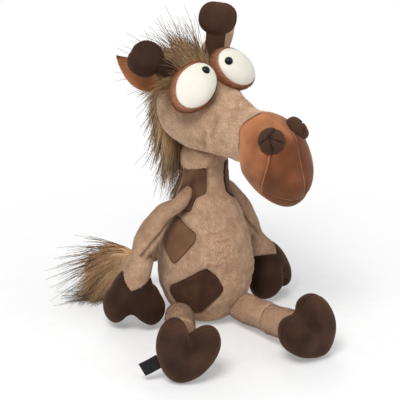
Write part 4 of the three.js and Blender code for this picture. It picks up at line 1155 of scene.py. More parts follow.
# %% Arms
ARM_FORM = [
    (0.0, 0.0030), (0.05, 0.0062), (0.16, 0.0090), (0.30, 0.0122), (0.41, 0.0142), (0.50, 0.0127),
    (0.59, 0.0150), (0.75, 0.0172), (1.0, 0.0172),
]  # radius by the share of the way from the root to the toes, with a pinch at the elbow
ARM_TIP_RISE = 0.0135
WRIST_TO_TOES, FLARE_TO_TOES = 0.072, 0.027
HOOF_HALF_WIDTH, HOOF_HALF_THICK = 0.036, 0.023
TOE_CLEFT, TOE_CLEFT_WIDTH = 0.0270, 0.0130
HOOF_EDGE_SIDE, HOOF_EDGE_FRONT = 0.067, 0.053
ELBOW = 0.50  # the elbow's share of the way
HOOF_SEAM = (0.0016, 0.0015)  # width and depth
ELBOW_FOLD, FRONT_SEAM, TOE_CREASE = (0.0045, 0.0034), (0.0026, 0.0042), (0.0065, 0.0042)
LIMB_FLOOR = 0.0004  # the lowest that a limb's cloth comes
ARMS = {
    "right": dict(
        bends=[(-0.056, -0.013, 0.140), (-0.075, -0.009, 0.109), (-0.087, -0.003, 0.062)],
        end=(-0.089, -0.002, 0.042), turn=-29, lean=0, tip=0.0415,
    ),
    "left": dict(
        bends=[(0.051, 0.025, 0.127), (0.061, 0.024, 0.104), (0.072, 0.023, 0.074)],
        end=(0.088, 0.020, 0.044), turn=40, lean=24, tip=0.0455,
    ),
}


def limb_frames(path, facing, last_across=None, blend_from=0.0, blend_over=1.0):
    """A limb's direction and its two section axes, which turn to the last one given near its end."""
    along = unit(np.gradient(path, axis=0))
    across = unit(np.cross(facing, along))
    if last_across is not None:
        share = smooth((np.linspace(0, 1, len(path)) - blend_from) / blend_over)[:, None]
        across = across * (1 - share) + last_across * share
        across = unit(across - along * np.sum(across * along, axis=1, keepdims=True))
    return along, across, np.cross(along, across)


def sample(values, share):
    """Rows of values at fractional places along them."""
    places = np.linspace(0, 1, len(values))
    return np.stack([np.interp(share, places, values[:, k]) for k in range(values.shape[1])], axis=-1)


sleeves = {}
sleeve_folds = {}
hoof_seams = {}
for side, side_name in SIDES:
    arm = ARMS[side_name]
    shoulder = joint_at[f"{side_name}_shoulder_lift"]
    end = np.array(arm["end"])
    turn, lean = math.radians(arm["turn"]), math.radians(arm["lean"])
    hoof_across = np.array([math.cos(turn), math.sin(turn), 0])
    outwards = unit(np.array([end[0], end[1], 0]))
    toes = outwards * math.sin(lean) - UP * math.cos(lean)
    toes = unit(toes - hoof_across * np.dot(toes, hoof_across))
    tip = on_body(math.degrees(math.atan2(shoulder[0], -shoulder[1])), shoulder[2] + ARM_TIP_RISE)
    path = curve_points([tip, shoulder, *arm["bends"], end, end + toes * arm["tip"]], 240)
    length = np.linalg.norm(np.diff(path, axis=0), axis=1).sum()
    along, across, thick = limb_frames(path, (0, -1, 0), hoof_across, 1 - 0.11 / length, 0.06 / length)

    def arm_surface(distance, angle):
        """Points on the arm at distances from the root and angles from its across axis."""
        share = distance / length
        sleeve = profile(share, ARM_FORM)
        flare = smooth((distance - length + WRIST_TO_TOES) / (WRIST_TO_TOES - FLARE_TO_TOES))
        to_tip = np.clip((distance - length + FLARE_TO_TOES) / FLARE_TO_TOES, 0, 1)
        close = np.maximum(1 - to_tip ** 2.4, 0) ** (1 / 2.4)
        wide = (sleeve + (HOOF_HALF_WIDTH - sleeve) * flare) * close
        deep = (sleeve + (HOOF_HALF_THICK - sleeve) * flare ** 1.4) * close
        aside = wide * np.cos(angle)
        centre = sample(path, share)
        point = centre + sample(across, share) * aside[..., None]
        point = point + sample(thick, share) * (deep * np.sin(angle))[..., None]
        drawn = TOE_CLEFT * np.exp(-((aside / TOE_CLEFT_WIDTH) ** 2)) * to_tip ** 2
        return point - sample(along, share) * drawn[..., None]

    angles = full_turn(120)
    edge = length - HOOF_EDGE_FRONT - (HOOF_EDGE_SIDE - HOOF_EDGE_FRONT) * np.abs(np.cos(angles))
    seam_line = arm_surface(edge, angles)
    sleeve_rows = np.linspace(0.004, 1, 90)[:, None]
    hoof_rows = np.sin(np.pi / 2 * np.linspace(0, 0.999, 80))[:, None]
    elbow = ELBOW * length
    inner = 0.0 if side < 0 else np.pi
    elbow_fold = arm_surface(np.full(40, elbow), inner + np.linspace(-1.1, 1.1, 40))
    seam_run = np.linspace(0.20 * length, elbow, 120)
    front_seam = arm_surface(seam_run, inner - side * np.linspace(0.6, 1.95, 120))
    sleeve_distance = sleeve_rows * edge[None, :]
    points = arm_surface(sleeve_distance, np.broadcast_to(angles, sleeve_distance.shape))
    hoof_seams[side_name] = near(points, [seam_line], 0.0026)
    sleeve_folds[side_name] = near(points, [elbow_fold, front_seam], 0.0022)
    press = lumps(points, 0.022, 0.0016, 6.1 * side)
    press += groove(points, seam_line, *HOOF_SEAM)
    press += groove(points, elbow_fold, *ELBOW_FOLD)
    press += groove(points, front_seam, *FRONT_SEAM)
    points = pressed(points, press)
    sleeve_piece = grid_object(f"arm_{side_name}_sleeve", points, tan_backing, end_cap=False)
    sleeves[side_name] = sleeve_piece
    solids = [f"arm_{side_name}_skin", f"arm_{side_name}_filling"]
    dress(sleeve_piece, f"{side_name}_arm", solids)

    hoof_distance = edge[None, :] + (length - edge)[None, :] * hoof_rows
    points = arm_surface(hoof_distance, np.broadcast_to(angles, hoof_distance.shape))
    press = lumps(points, 0.022, 0.0012, 8.4 * side)
    press += groove(points, seam_line, *HOOF_SEAM)
    for face in (np.pi / 2, -np.pi / 2):
        crease_line = arm_surface(np.linspace(length - 0.034, length - 0.001, 50), np.full(50, face))
        press += groove(points, crease_line, *TOE_CREASE)
    points = pressed(points, press)
    points[..., 2] = np.maximum(points[..., 2], LIMB_FLOOR)
    hoof_piece = grid_object(f"arm_{side_name}_hoof", points, brown_velour, start_cap=False)
    paint_nap_and_light(hoof_piece, lumps(points, 0.020, 0.15, 3.3 * side) - 0.16)
    solids = [f"arm_{side_name}_hoof", f"arm_{side_name}_hoof_filling"]
    dress(hoof_piece, f"{side_name}_arm", solids)

# %% [markdown]
# ## Legs and feet
# The legs are short stuffed tubes lying on the floor. Each ends in a plump heart of brown velour with its
# sole turned to us. The heart is rings of one outline, small at both faces, and a crease runs down from its
# cleft.

# %% Legs and feet
LEG_RADIUS = 0.0165
FOOT_AHEAD = {"right": 0.145, "left": 0.147}
FOOT_ASIDE = {"right": 0.081, "left": 0.064}
FOOT_WIDTH, FOOT_HEIGHT, FOOT_THICK = 0.076, 0.078, 0.046
FOOT_SPLAY = math.radians(17)
FOOT_ROLL = {"right": math.radians(16), "left": math.radians(-34)}
FOOT_CLEFT = {"right": 0.62, "left": 0.28}
FOOT_PLUMP = 2.4
FOOT_FLOOR, FOOT_SETTLE = 0.0003, 0.0005  # the sole's lowest height, and how far it presses down first
ANKLE_DEPTH, KNEE_HEIGHT, ANKLE_HEIGHT = 0.012, 0.024, 0.031
KNEE_SEAM = 0.55  # the share of the leg where its seam runs round it
LEG_ROOT_ASIDE = {"right": 0.0, "left": -0.018}  # how far a leg's root lies from its hinge along the hips
feet = {}
legs = {}


def heart(turns, cleft):
    """The foot's outline: two round toes above and a rounded heel; zero turn is between the toes."""
    from_toes = np.minimum(turns, 2 * np.pi - turns)
    toes = 0.05 * np.exp(-(((from_toes - 0.80) / 0.4) ** 2))
    reach = 1 - cleft * np.exp(-((from_toes / 0.40) ** 2)) + toes
    narrow = 1 - 0.30 * smooth(from_toes / np.pi) ** 1.5
    return np.stack([reach * narrow * np.sin(turns), reach * np.cos(turns)], axis=1)


for side, side_name in SIDES:
    sole = np.array([side * math.sin(FOOT_SPLAY), -math.cos(FOOT_SPLAY), 0])
    level_way = -np.cross(UP, sole)
    roll = FOOT_ROLL[side_name]
    toes = UP * math.cos(roll) - level_way * math.sin(roll)
    across = np.cross(toes, sole)
    middle = np.array([side * FOOT_ASIDE[side_name], -FOOT_AHEAD[side_name], FOOT_HEIGHT / 2])
    outline = heart(full_turn(160), FOOT_CLEFT[side_name])
    half_wide, half_tall = outline[:, 0] * FOOT_WIDTH / 2, outline[:, 1] * FOOT_HEIGHT / 2
    ring = np.outer(half_wide, across) + np.outer(half_tall, toes)
    rows = []
    for swing in np.linspace(0.012, np.pi - 0.012, 72):
        depth = -math.cos(swing)
        plump = (1 - abs(depth) ** FOOT_PLUMP) ** (1 / FOOT_PLUMP)
        rows.append(middle + sole * depth * FOOT_THICK / 2 + ring * plump)
    points = np.stack(rows)
    lowest = points[..., 2].min()
    points[..., 2] -= lowest + FOOT_SETTLE
    middle = middle - UP * (lowest + FOOT_SETTLE)
    press = lumps(points, 0.026, 0.0013, 7.7 * side)
    crease = np.zeros(points.shape[:2])
    for face, deep in ((1, 0.0064), (-1, 0.0040)):
        run = np.linspace(0.68, -0.1, 50)
        line = middle + np.outer(run * FOOT_HEIGHT / 2, toes) + sole * face * FOOT_THICK / 2 * 0.93
        fade = np.clip((points - middle) @ toes / (FOOT_HEIGHT / 2) + 0.15, 0, 0.8) / 0.8
        press += groove(points, line, 0.0085, deep) * smooth(fade)
        crease -= groove(points, line, 0.0060, 1.0) * smooth(fade)
    press += groove(points, middle + ring, 0.0013, 0.0010)
    points = pressed(points, press)
    points[..., 2] = np.maximum(points[..., 2], FOOT_FLOOR)
    foot = grid_object(f"leg_{side_name}_hoof", points, brown_velour)
    # painted shade: the foot is darker along the crease from its cleft
    paint_nap_and_light(foot, lumps(points, 0.024, 0.24, 1.3 * side) - 0.02 - 0.34 * crease)
    feet[side_name] = dict(middle=middle, sole=sole, level=level_way)
    solids = [f"leg_{side_name}_hoof", f"leg_{side_name}_hoof_filling"]
    dress(foot, f"{side_name}_leg", solids)

    hip = joint_at[f"{side_name}_hip_lift"] + np.array([LEG_ROOT_ASIDE[side_name], 0, 0])
    ankle = middle + sole * (ANKLE_DEPTH - FOOT_THICK / 2)
    ankle[2] = ANKLE_HEIGHT
    knee = (hip + ankle) / 2
    knee[2] = KNEE_HEIGHT
    start = hip - unit(knee - hip) * LEG_RADIUS
    path = curve_points([start, knee, ankle], 120)
    length = np.linalg.norm(np.diff(path, axis=0), axis=1).sum()
    along, across, thick = limb_frames(path, UP)
    angles = full_turn(96)
    distance = np.linspace(0.0006, length, 80)[:, None] + 0 * angles
    size = np.sqrt(np.maximum(LEG_RADIUS ** 2 - np.maximum(LEG_RADIUS - distance, 0) ** 2, 1e-9))
    size = size * (1 + 0.05 * smooth((distance / length - 0.5) * 2))
    share = distance / length
    points = sample(path, share) + sample(across, share) * (size * np.cos(angles))[..., None]
    points = points + sample(thick, share) * (size * np.sin(angles))[..., None]
    knee_ring = sample(path, np.full(len(angles), KNEE_SEAM))
    knee_ring = knee_ring + np.outer(np.cos(angles), sample(across, KNEE_SEAM)) * LEG_RADIUS
    knee_ring = knee_ring + np.outer(np.sin(angles), sample(thick, KNEE_SEAM)) * LEG_RADIUS
    press = lumps(points, 0.020, 0.0014, 3.9 * side)
    press += groove(points, knee_ring, 0.0016, 0.0016)
    points = pressed(points, press)
    points[..., 2] = np.maximum(points[..., 2], LIMB_FLOOR)
    leg = grid_object(f"leg_{side_name}_sleeve", points, tan_backing)
    legs[side_name] = leg
    solids = [f"leg_{side_name}_skin", f"leg_{side_name}_filling"]
    dress(leg, f"{side_name}_leg", solids)

# %% [markdown]
# ## Label
# A folded tab of black woven ribbon is sewn into the seam of the right foot. It stays bare. Folded ribbon
# lies flat, so one thin slab with rounded edges is enough. It bends a little and thins out at its fold.

# %% Label
LABEL_LENGTH, LABEL_HEIGHT, LABEL_THICK = 0.0215, 0.0165, 0.0011
LABEL_AWAY, LABEL_DROP, LABEL_DROOP = 0.0385, 0.0180, math.radians(27)
foot_axes = feet["right"]
label_middle = foot_axes["middle"] + foot_axes["level"] * LABEL_AWAY - UP * LABEL_DROP
label_out = foot_axes["level"] * math.cos(LABEL_DROOP) - UP * math.sin(LABEL_DROOP)
label_wide = UP * math.cos(LABEL_DROOP) + foot_axes["level"] * math.sin(LABEL_DROOP)
turns = full_turn(64)
flat = np.sign(np.cos(turns)) * np.abs(np.cos(turns)) ** 0.12 * LABEL_HEIGHT / 2
rounded = np.sign(np.sin(turns)) * np.abs(np.sin(turns)) ** 0.4
rows = []
for share in np.linspace(0, 1, 24):
    place = label_middle + label_out * LABEL_LENGTH * (share - 0.5)
    place = place + foot_axes["sole"] * 0.0016 * math.sin(share * 2.4)
    half_thick = LABEL_THICK / 2 * (1 - max(0, (share - 0.94) / 0.06) ** 2 * 0.9)
    rows.append(place + np.outer(flat, label_wide) + np.outer(rounded * half_thick, foot_axes["sole"]))
label = grid_object("side_label", np.stack(rows), label_black)
dress(label, "right_leg", ["side_label"])

# %% [markdown]
# ## Tail
# The tail is a thin stuffed tube that lies round the back to the toy's right, and ends in a brush of long
# fur. A curve with a round bevel would do. A grid is used here too, so that the same helpers give it lumps
# and a closed end.

# %% Tail
TAIL_RADIUS = 0.008
TAIL_ROUNDING = 0.12  # the share of the tail that its rounded root takes up
TAIL_BENDS = [(-0.022, 0.074, 0.051), (-0.046, 0.079, 0.048), (-0.076, 0.0885, 0.0435)]
tail_path = curve_points([joint_at["tail_wag"], *TAIL_BENDS], 80)
_, tail_across, tail_thick = limb_frames(tail_path, UP)
angles = full_turn(48)
to_round = np.maximum(TAIL_ROUNDING - np.linspace(0, 1, 80), 0)
size = TAIL_RADIUS * np.sqrt(np.clip(1 - to_round ** 2 / TAIL_ROUNDING ** 2, 0.002, 1))
points = tail_path[:, None, :] + size[:, None, None] * (
    np.cos(angles)[:, None] * tail_across[:, None, :] + np.sin(angles)[:, None] * tail_thick[:, None, :]
)
points = pressed(points, lumps(points, 0.012, 0.0008, 1.9))
tail = grid_object("tail", points, tan_backing)
dress(tail, "tail", ["tail"])

# %% [markdown]
# ## Pile and fur
# Plush is thousands of short fibres, all combed one way, and faux fur is the same with long ones. Geometry
# Nodes scatter points on a skin, and each point carries a fibre: a bent blade for the plush, a tapered
# strand for the fur. The skin's own attributes say how dense they stand, which way they lie and how light
# they are. First come small helpers that add one node each, so that the trees can be read like sums.

# %% Helpers for node trees


def new_tree(name, inputs):
    tree = bpy.data.node_groups.new(name, "GeometryNodeTree")
    tree.interface.new_socket("Geometry", in_out="INPUT", socket_type="NodeSocketGeometry")
    for label, kind in inputs:
        tree.interface.new_socket(label, in_out="INPUT", socket_type=kind)
    tree.interface.new_socket("Geometry", in_out="OUTPUT", socket_type="NodeSocketGeometry")
    return tree, tree.nodes.new("NodeGroupInput").outputs, tree.nodes.new("NodeGroupOutput").inputs


def add(tree, kind, sockets=None, output=0, **settings):
    """A node with its settings and sockets filled; returns one of its outputs."""
    node = tree.nodes.new(kind)
    for key, value in settings.items():
        setattr(node, key, value)
    for key, value in (sockets or {}).items():
        if isinstance(value, bpy.types.NodeSocket):
            tree.links.new(value, node.inputs[key])
        else:
            node.inputs[key].default_value = value
    return node.outputs[output]


def read(tree, name, kind):
    return add(tree, "GeometryNodeInputNamedAttribute", {"Name": name}, data_type=kind)


def keep(tree, geometry, name, value, kind="FLOAT", domain="POINT"):
    sockets = {"Geometry": geometry, "Name": name, "Value": value}
    return add(tree, "GeometryNodeStoreNamedAttribute", sockets, data_type=kind, domain=domain)


def maths(tree, operation, first, second):
    return add(tree, "ShaderNodeMath", {0: first, 1: second}, operation=operation)


def vectors(tree, operation, first, second):
    return add(tree, "ShaderNodeVectorMath", {0: first, 1: second}, operation=operation)


def scaled(tree, vector, factor):
    return add(tree, "ShaderNodeVectorMath", {0: vector, "Scale": factor}, operation="SCALE")


def chance(tree, low, high, seed):
    return add(tree, "FunctionNodeRandomValue", {2: low, 3: high, "Seed": seed}, 1, data_type="FLOAT")


def chance_way(tree, seed):
    sockets = {0: (-1, -1, -1), 1: (1, 1, 1), "Seed": seed}
    return add(tree, "FunctionNodeRandomValue", sockets, 0, data_type="FLOAT_VECTOR")


def scatter(tree, group):
    """Points on the skin, as dense as its room attribute says, and the skin's direction at each."""
    density = maths(tree, "MULTIPLY", group["Density"], read(tree, "room", "FLOAT"))
    node = tree.nodes.new("GeometryNodeDistributePointsOnFaces")
    node.distribute_method = "RANDOM"
    tree.links.new(group["Geometry"], node.inputs["Mesh"])
    tree.links.new(density, node.inputs["Density"])
    tree.links.new(group["Seed"], node.inputs["Seed"])
    return node.outputs["Points"], node.outputs["Normal"]


def fibre_tone(tree, group, points):
    """A tone for each fibre: the skin's own tone and some chance."""
    tone = maths(tree, "ADD", read(tree, "tone", "FLOAT"), chance(tree, -0.28, 0.28, group["Seed"]))
    tone = add(tree, "ShaderNodeClamp", {0: tone, 1: 0.02, 2: 0.98})
    return keep(tree, points, "fibre_tone", tone)


def finish_fibres(tree, group, out, mesh, along):
    """The fibre map, the finish and the end of a tree."""
    place = add(tree, "ShaderNodeCombineXYZ", {0: read(tree, "fibre_tone", "FLOAT"), 1: along})
    mesh = keep(tree, mesh, FIBRE_MAP, place, "FLOAT2", "CORNER")
    finished = add(tree, "GeometryNodeSetMaterial", {"Geometry": mesh, "Material": group["Finish"]})
    tree.links.new(finished, out["Geometry"])


print("helpers for node trees ready")

# %% [markdown]
# ## Pile tree
# A blade of pile leans along the comb and a little off the skin, with some stray of its own. Every blade is
# the same small triangle turned and scaled, which keeps a hundred thousand of them light.

# %% Pile tree
FLOAT_INPUT, INT_INPUT = "NodeSocketFloat", "NodeSocketInt"
pile_tree, group, out = new_tree("plush_pile", [
    ("Density", FLOAT_INPUT), ("Length", FLOAT_INPUT), ("Lift", FLOAT_INPUT), ("Spread", FLOAT_INPUT),
    ("Seed", INT_INPUT), ("Blade", "NodeSocketObject"), ("Finish", "NodeSocketMaterial"),
])
points, normal = scatter(pile_tree, group)
points = fibre_tone(pile_tree, group, points)
stray = scaled(pile_tree, chance_way(pile_tree, group["Seed"]), group["Spread"])
stray = scaled(pile_tree, stray, read(pile_tree, "curl", "FLOAT"))
lifted = scaled(pile_tree, normal, group["Lift"])
way = vectors(pile_tree, "ADD", read(pile_tree, "comb", "FLOAT_VECTOR"), lifted)
way = vectors(pile_tree, "ADD", way, stray)
turned = add(
    pile_tree, "FunctionNodeAxesToRotation", {"Primary Axis": way, "Secondary Axis": normal},
    primary_axis="Z", secondary_axis="Y",
)
size = maths(pile_tree, "MULTIPLY", group["Length"], chance(pile_tree, 0.65, 1.25, group["Seed"]))
blade_source = add(pile_tree, "GeometryNodeObjectInfo", {"Object": group["Blade"]}, "Geometry")
blades = add(pile_tree, "GeometryNodeInstanceOnPoints", {
    "Points": points, "Instance": blade_source, "Rotation": turned, "Scale": size,
})
mesh = add(pile_tree, "GeometryNodeRealizeInstances", {"Geometry": blades})
along = add(pile_tree, "ShaderNodeSeparateXYZ", {0: read(pile_tree, FIBRE_MAP, "FLOAT_VECTOR")}, 1)
finish_fibres(pile_tree, group, out, mesh, along)
print("pile tree", len(pile_tree.nodes), "nodes")

# %% [markdown]
# ## Fur tree
# A strand sets out its own way from its root and falls more the further it reaches. Strands whose roots lie
# in the same small cell swerve together, which makes the locks. Where a strand would go through the floor
# it lies on it.

# %% Fur tree
STRAND_POINTS, STRAND_SIDES = 5, 3
STRAND_TAPER = 0.6  # the share of its thickness that a strand loses on its way to the tip
STRAND_FLOOR = 0.001
fur_tree, group, out = new_tree("long_fur", [
    ("Density", FLOAT_INPUT), ("Thickness", FLOAT_INPUT), ("Stray", FLOAT_INPUT),
    ("Lock Size", FLOAT_INPUT), ("Lock Spread", FLOAT_INPUT), ("Shortest", FLOAT_INPUT),
    ("Seed", INT_INPUT), ("Finish", "NodeSocketMaterial"),
])
points, normal = scatter(fur_tree, group)
points = fibre_tone(fur_tree, group, points)
place = add(fur_tree, "GeometryNodeInputPosition")
points = keep(fur_tree, points, "root", place, "FLOAT_VECTOR")
way = read(fur_tree, "way", "FLOAT_VECTOR")
reach = add(fur_tree, "ShaderNodeVectorMath", {0: way}, 1, operation="LENGTH")
stray = scaled(fur_tree, chance_way(fur_tree, group["Seed"]), group["Stray"])
cell = vectors(fur_tree, "FLOOR", vectors(fur_tree, "DIVIDE", place, group["Lock Size"]), (0, 0, 0))
lock = add(fur_tree, "ShaderNodeTexWhiteNoise", {"Vector": cell}, "Color", noise_dimensions="3D")
lock = scaled(fur_tree, vectors(fur_tree, "SUBTRACT", lock, (0.5, 0.5, 0.5)), group["Lock Spread"])
aside = scaled(fur_tree, vectors(fur_tree, "ADD", stray, lock), reach)
length = chance(fur_tree, group["Shortest"], 1.0, group["Seed"])
points = keep(fur_tree, points, "strand_way", scaled(fur_tree, way, length), "FLOAT_VECTOR")
points = keep(fur_tree, points, "strand_aside", scaled(fur_tree, aside, length), "FLOAT_VECTOR")
fall = scaled(fur_tree, read(fur_tree, "fall", "FLOAT_VECTOR"), length)
points = keep(fur_tree, points, "strand_fall", fall, "FLOAT_VECTOR")
line = add(fur_tree, "GeometryNodeCurvePrimitiveLine", {"Start": (0, 0, 0), "End": (0, 0, 1)})
line = add(fur_tree, "GeometryNodeResampleCurve", {"Curve": line, "Count": STRAND_POINTS})
strands = add(fur_tree, "GeometryNodeInstanceOnPoints", {"Points": points, "Instance": line})
strands = add(fur_tree, "GeometryNodeRealizeInstances", {"Geometry": strands})
share = add(fur_tree, "GeometryNodeSplineParameter")
square = maths(fur_tree, "MULTIPLY", share, share)
place = vectors(
    fur_tree, "ADD", read(fur_tree, "root", "FLOAT_VECTOR"),
    scaled(fur_tree, read(fur_tree, "strand_way", "FLOAT_VECTOR"), share),
)
swerve = vectors(
    fur_tree, "ADD", read(fur_tree, "strand_fall", "FLOAT_VECTOR"),
    read(fur_tree, "strand_aside", "FLOAT_VECTOR"),
)
place = vectors(fur_tree, "ADD", place, scaled(fur_tree, swerve, square))
height = add(fur_tree, "ShaderNodeSeparateXYZ", {0: place}, 2)
to_floor = maths(fur_tree, "SUBTRACT", maths(fur_tree, "MAXIMUM", height, STRAND_FLOOR), height)
place = vectors(fur_tree, "ADD", place, add(fur_tree, "ShaderNodeCombineXYZ", {2: to_floor}))
strands = add(fur_tree, "GeometryNodeSetPosition", {"Geometry": strands, "Position": place})
strands = keep(fur_tree, strands, "fibre_share", share)
taper = maths(fur_tree, "SUBTRACT", 1.0, maths(fur_tree, "MULTIPLY", square, STRAND_TAPER))
taper = maths(fur_tree, "MULTIPLY", taper, group["Thickness"])
section = add(
    fur_tree, "GeometryNodeCurvePrimitiveCircle", {"Resolution": STRAND_SIDES, "Radius": 1.0}
)
mesh = add(
    fur_tree, "GeometryNodeCurveToMesh", {"Curve": strands, "Profile Curve": section, "Scale": taper}
)
finish_fibres(fur_tree, group, out, mesh, read(fur_tree, "fibre_share", "FLOAT"))
print("fur tree", len(fur_tree.nodes), "nodes")

# %% [markdown]
# ## Growing
# A tree could stay on its skin as a modifier. Here it is run once and what grew becomes a mesh of its own,
# so that the skin and its fibres can have separate finishes. The numbers that only the trees needed are
# then taken off.

# %% Growing
SPENT = {
    "room", "tone", "comb", "curl", "way", "fall", "root", "strand_way", "strand_aside", "strand_fall",
    "fibre_share", "fibre_tone",
}  # attributes that a grown mesh no longer needs


def set_attributes(mesh, **values):
    """Numbers or directions for each vertex, for the trees to read."""
    for name, data in values.items():
        data = np.asarray(data, float)
        vector = data.ndim == 2
        attribute = mesh.attributes.new(name, "FLOAT_VECTOR" if vector else "FLOAT", "POINT")
        attribute.data.foreach_set("vector" if vector else "value", data.ravel())


def grow(name, tree, mesh, **values):
    """Run a tree on a skin and keep what grew as a mesh of its own."""
    emitter = bpy.data.objects.new(f"{name}_emitter", mesh)
    bpy.context.scene.collection.objects.link(emitter)
    modifier = emitter.modifiers.new("growth", "NODES")
    modifier.node_group = tree
    labels = {item.name: item.identifier for item in tree.interface.items_tree if item.in_out == "INPUT"}
    for key, value in values.items():
        modifier[labels[key.replace("_", " ")]] = value
    graph = bpy.context.evaluated_depsgraph_get()
    grown = bpy.data.meshes.new_from_object(emitter.evaluated_get(graph))
    emitter.modifiers.remove(modifier)
    bpy.data.objects.remove(emitter)
    grown.name = name
    for extra in [a.name for a in grown.attributes if a.name in SPENT]:
        grown.attributes.remove(grown.attributes[extra])
    piece = bpy.data.objects.new(name, grown)
    bpy.context.scene.collection.objects.link(piece)
    print(name, len(grown.polygons), "faces")
    return piece


print("attributes taken off after growing", len(SPENT))

# %% [markdown]
# ## One blade of pile
# A fibre of plush is a thin tapered thread. At this size one triangle looks the same, and it costs least.
# It is one metre tall, so that the tree's scale is the fibre's length, and its map runs from root to tip.

# %% One blade of pile
BLADE_WIDTH = 0.26
blade_mesh = bpy.data.meshes.new("pile_blade")
blade_mesh.from_pydata([(-BLADE_WIDTH / 2, 0, 0), (BLADE_WIDTH / 2, 0, 0), (0, 0, 1.0)], [], [(0, 1, 2)])
blade_map = blade_mesh.uv_layers.new(name=FIBRE_MAP)
for loop in blade_mesh.loops:
    blade_map.data[loop.index].uv = (0.5, blade_mesh.vertices[loop.vertex_index].co.z)
blade = bpy.data.objects.new("pile_blade", blade_mesh)
print("blade", BLADE_WIDTH, "of its length wide")

# %% [markdown]
# ## Plush on every tan piece
# The nap is combed down the body and the limbs and back over the head. Its tone drifts in soft patches, as
# plush does where a hand has stroked it. Nothing grows under the spots, and the belly has a curlier place.

# %% Helpers for plush
PILE_LENGTH, PILE_DENSITY, PILE_LIFT, PILE_SPREAD = 0.0021, 2.0e6, 0.34, 0.26
COMB_SEED = 7
noise.seed_set(COMB_SEED)  # the comb's drift would follow the clock without a seed


def vertex_arrays(mesh):
    """Places and outward directions of a mesh's vertices."""
    count = len(mesh.vertices)
    places, normals = np.empty(count * 3), np.empty(count * 3)
    mesh.vertices.foreach_get("co", places)
    mesh.vertex_normals.foreach_get("vector", normals)
    return places.reshape(-1, 3), normals.reshape(-1, 3)


def plush(piece, name, body_name, comb, tone, room=1.0, curl=1.0, *, seed, swirl=0.4, finish=tan_pile):
    """Pile on a skin, combed one way; tone, room and curl are one number or one for each vertex."""
    mesh = piece.data.copy()
    places, normals = vertex_arrays(mesh)
    comb = np.broadcast_to(np.asarray(comb, float), places.shape)
    drift = np.array([noise.noise_vector(Vector(place) * 55) for place in places])
    comb = unit(comb + drift * swirl)
    comb = unit(comb - normals * np.sum(comb * normals, axis=1, keepdims=True))
    tones = tone + lumps(places, 0.016, 0.34, 0.4) + lumps(places, 0.0055, 0.30, 7.1)
    tones = tones + lumps(places * [1, 1, 0.35], 0.0028, 0.20, 2.6)
    count = len(places)
    set_attributes(
        mesh, comb=comb, tone=tones, room=np.broadcast_to(room, count), curl=np.broadcast_to(curl, count)
    )
    fuzz = grow(
        name, pile_tree, mesh, Density=PILE_DENSITY, Length=PILE_LENGTH, Lift=PILE_LIFT, Spread=PILE_SPREAD,
        Seed=seed, Blade=blade, Finish=finish,
    )
    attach(fuzz, body_name)


def inside_spots(places):
    """Which points of the body lie under a spot."""
    turns = np.degrees(np.arctan2(places[:, 0], -places[:, 1]))
    under = np.zeros(len(places), bool)
    for spot_turn, height, corners in SPOTS.values():
        outline = rounded_outline(corners)
        aside = (turns - spot_turn + 180) % 360 - 180
        flat = np.stack([np.radians(aside) * body_radius(height), places[:, 2] - height], axis=1)
        crossings = np.zeros(len(places), int)
        for start, end in zip(outline, np.roll(outline, -1, axis=0)):
            spans = (start[1] > flat[:, 1]) != (end[1] > flat[:, 1])
            rise = end[1] - start[1] if abs(end[1] - start[1]) > 1e-9 else 1e-9
            reach = start[0] + (flat[:, 1] - start[1]) / rise * (end[0] - start[0])
            crossings += (spans & (flat[:, 0] < reach)).astype(int)
        under |= crossings % 2 == 1
    return under


def for_vertices(piece, shares):
    """A grid's shares as one number for each vertex of its piece, with none for a cap."""
    flat = np.ravel(shares)
    return np.pad(flat, (0, len(piece.data.vertices) - len(flat)))


print("helpers for plush ready")

# %% [markdown]
# The body is not one even coat. It has no pile under the spots and on the seat, and thin pile in the seams.
# Painted shade darkens the seams and the neck under the head, and the belly has a pale curly place. Arrays
# with one number for each vertex say all this.

# %% Plush on the body
# A place counts as under a spot if it, or a place this far from it, lies inside the spot's outline.
SPOT_MARGINS = ((0, 0, 0), (0, 0, -0.0024), (0, 0, 0.0008), (0.001, 0.0006, 0), (-0.001, -0.0006, 0))
places, _ = vertex_arrays(body.data)
covered = np.any([inside_spots(places + margin) for margin in np.array(SPOT_MARGINS)], axis=0)
body_room = np.where(covered, 0.0, 1.0)
body_room[places[:, 2] < 0.004] = 0.0
body_room *= 1 - 0.7 * near(places, BODY_SEAMS, 0.0013)
curly = curliness(places)
neck_shade = smooth((places[:, 2] - 0.150) / 0.03)
# painted shade along the seams and on the neck under the head
body_tone = 0.48 - 0.20 * near(places, BODY_SEAMS, 0.0016) - 0.34 * neck_shade
body_tone += curly * (0.50 + lumps(places, 0.0030, 1.2, 5.1))
plush(body, "pile_torso", "torso", DOWN, body_tone, body_room, 1 + 4.0 * curly, seed=11)
plush(neck_roll, "pile_neck", "neck", DOWN, 0.4, seed=12)

# %% [markdown]
# On the head the nap lies back and down. Creases have painted shade and thinner pile there and on the arms,
# so that they show through the pile, and the upper arms have painted shade. The backs of the eyes have the
# same short pile in rust.

# %% Plush on the head and limbs
head_back_way = head_turn @ np.array([0.0, 0.55, -0.85])
in_fold = for_vertices(head, head_folds)
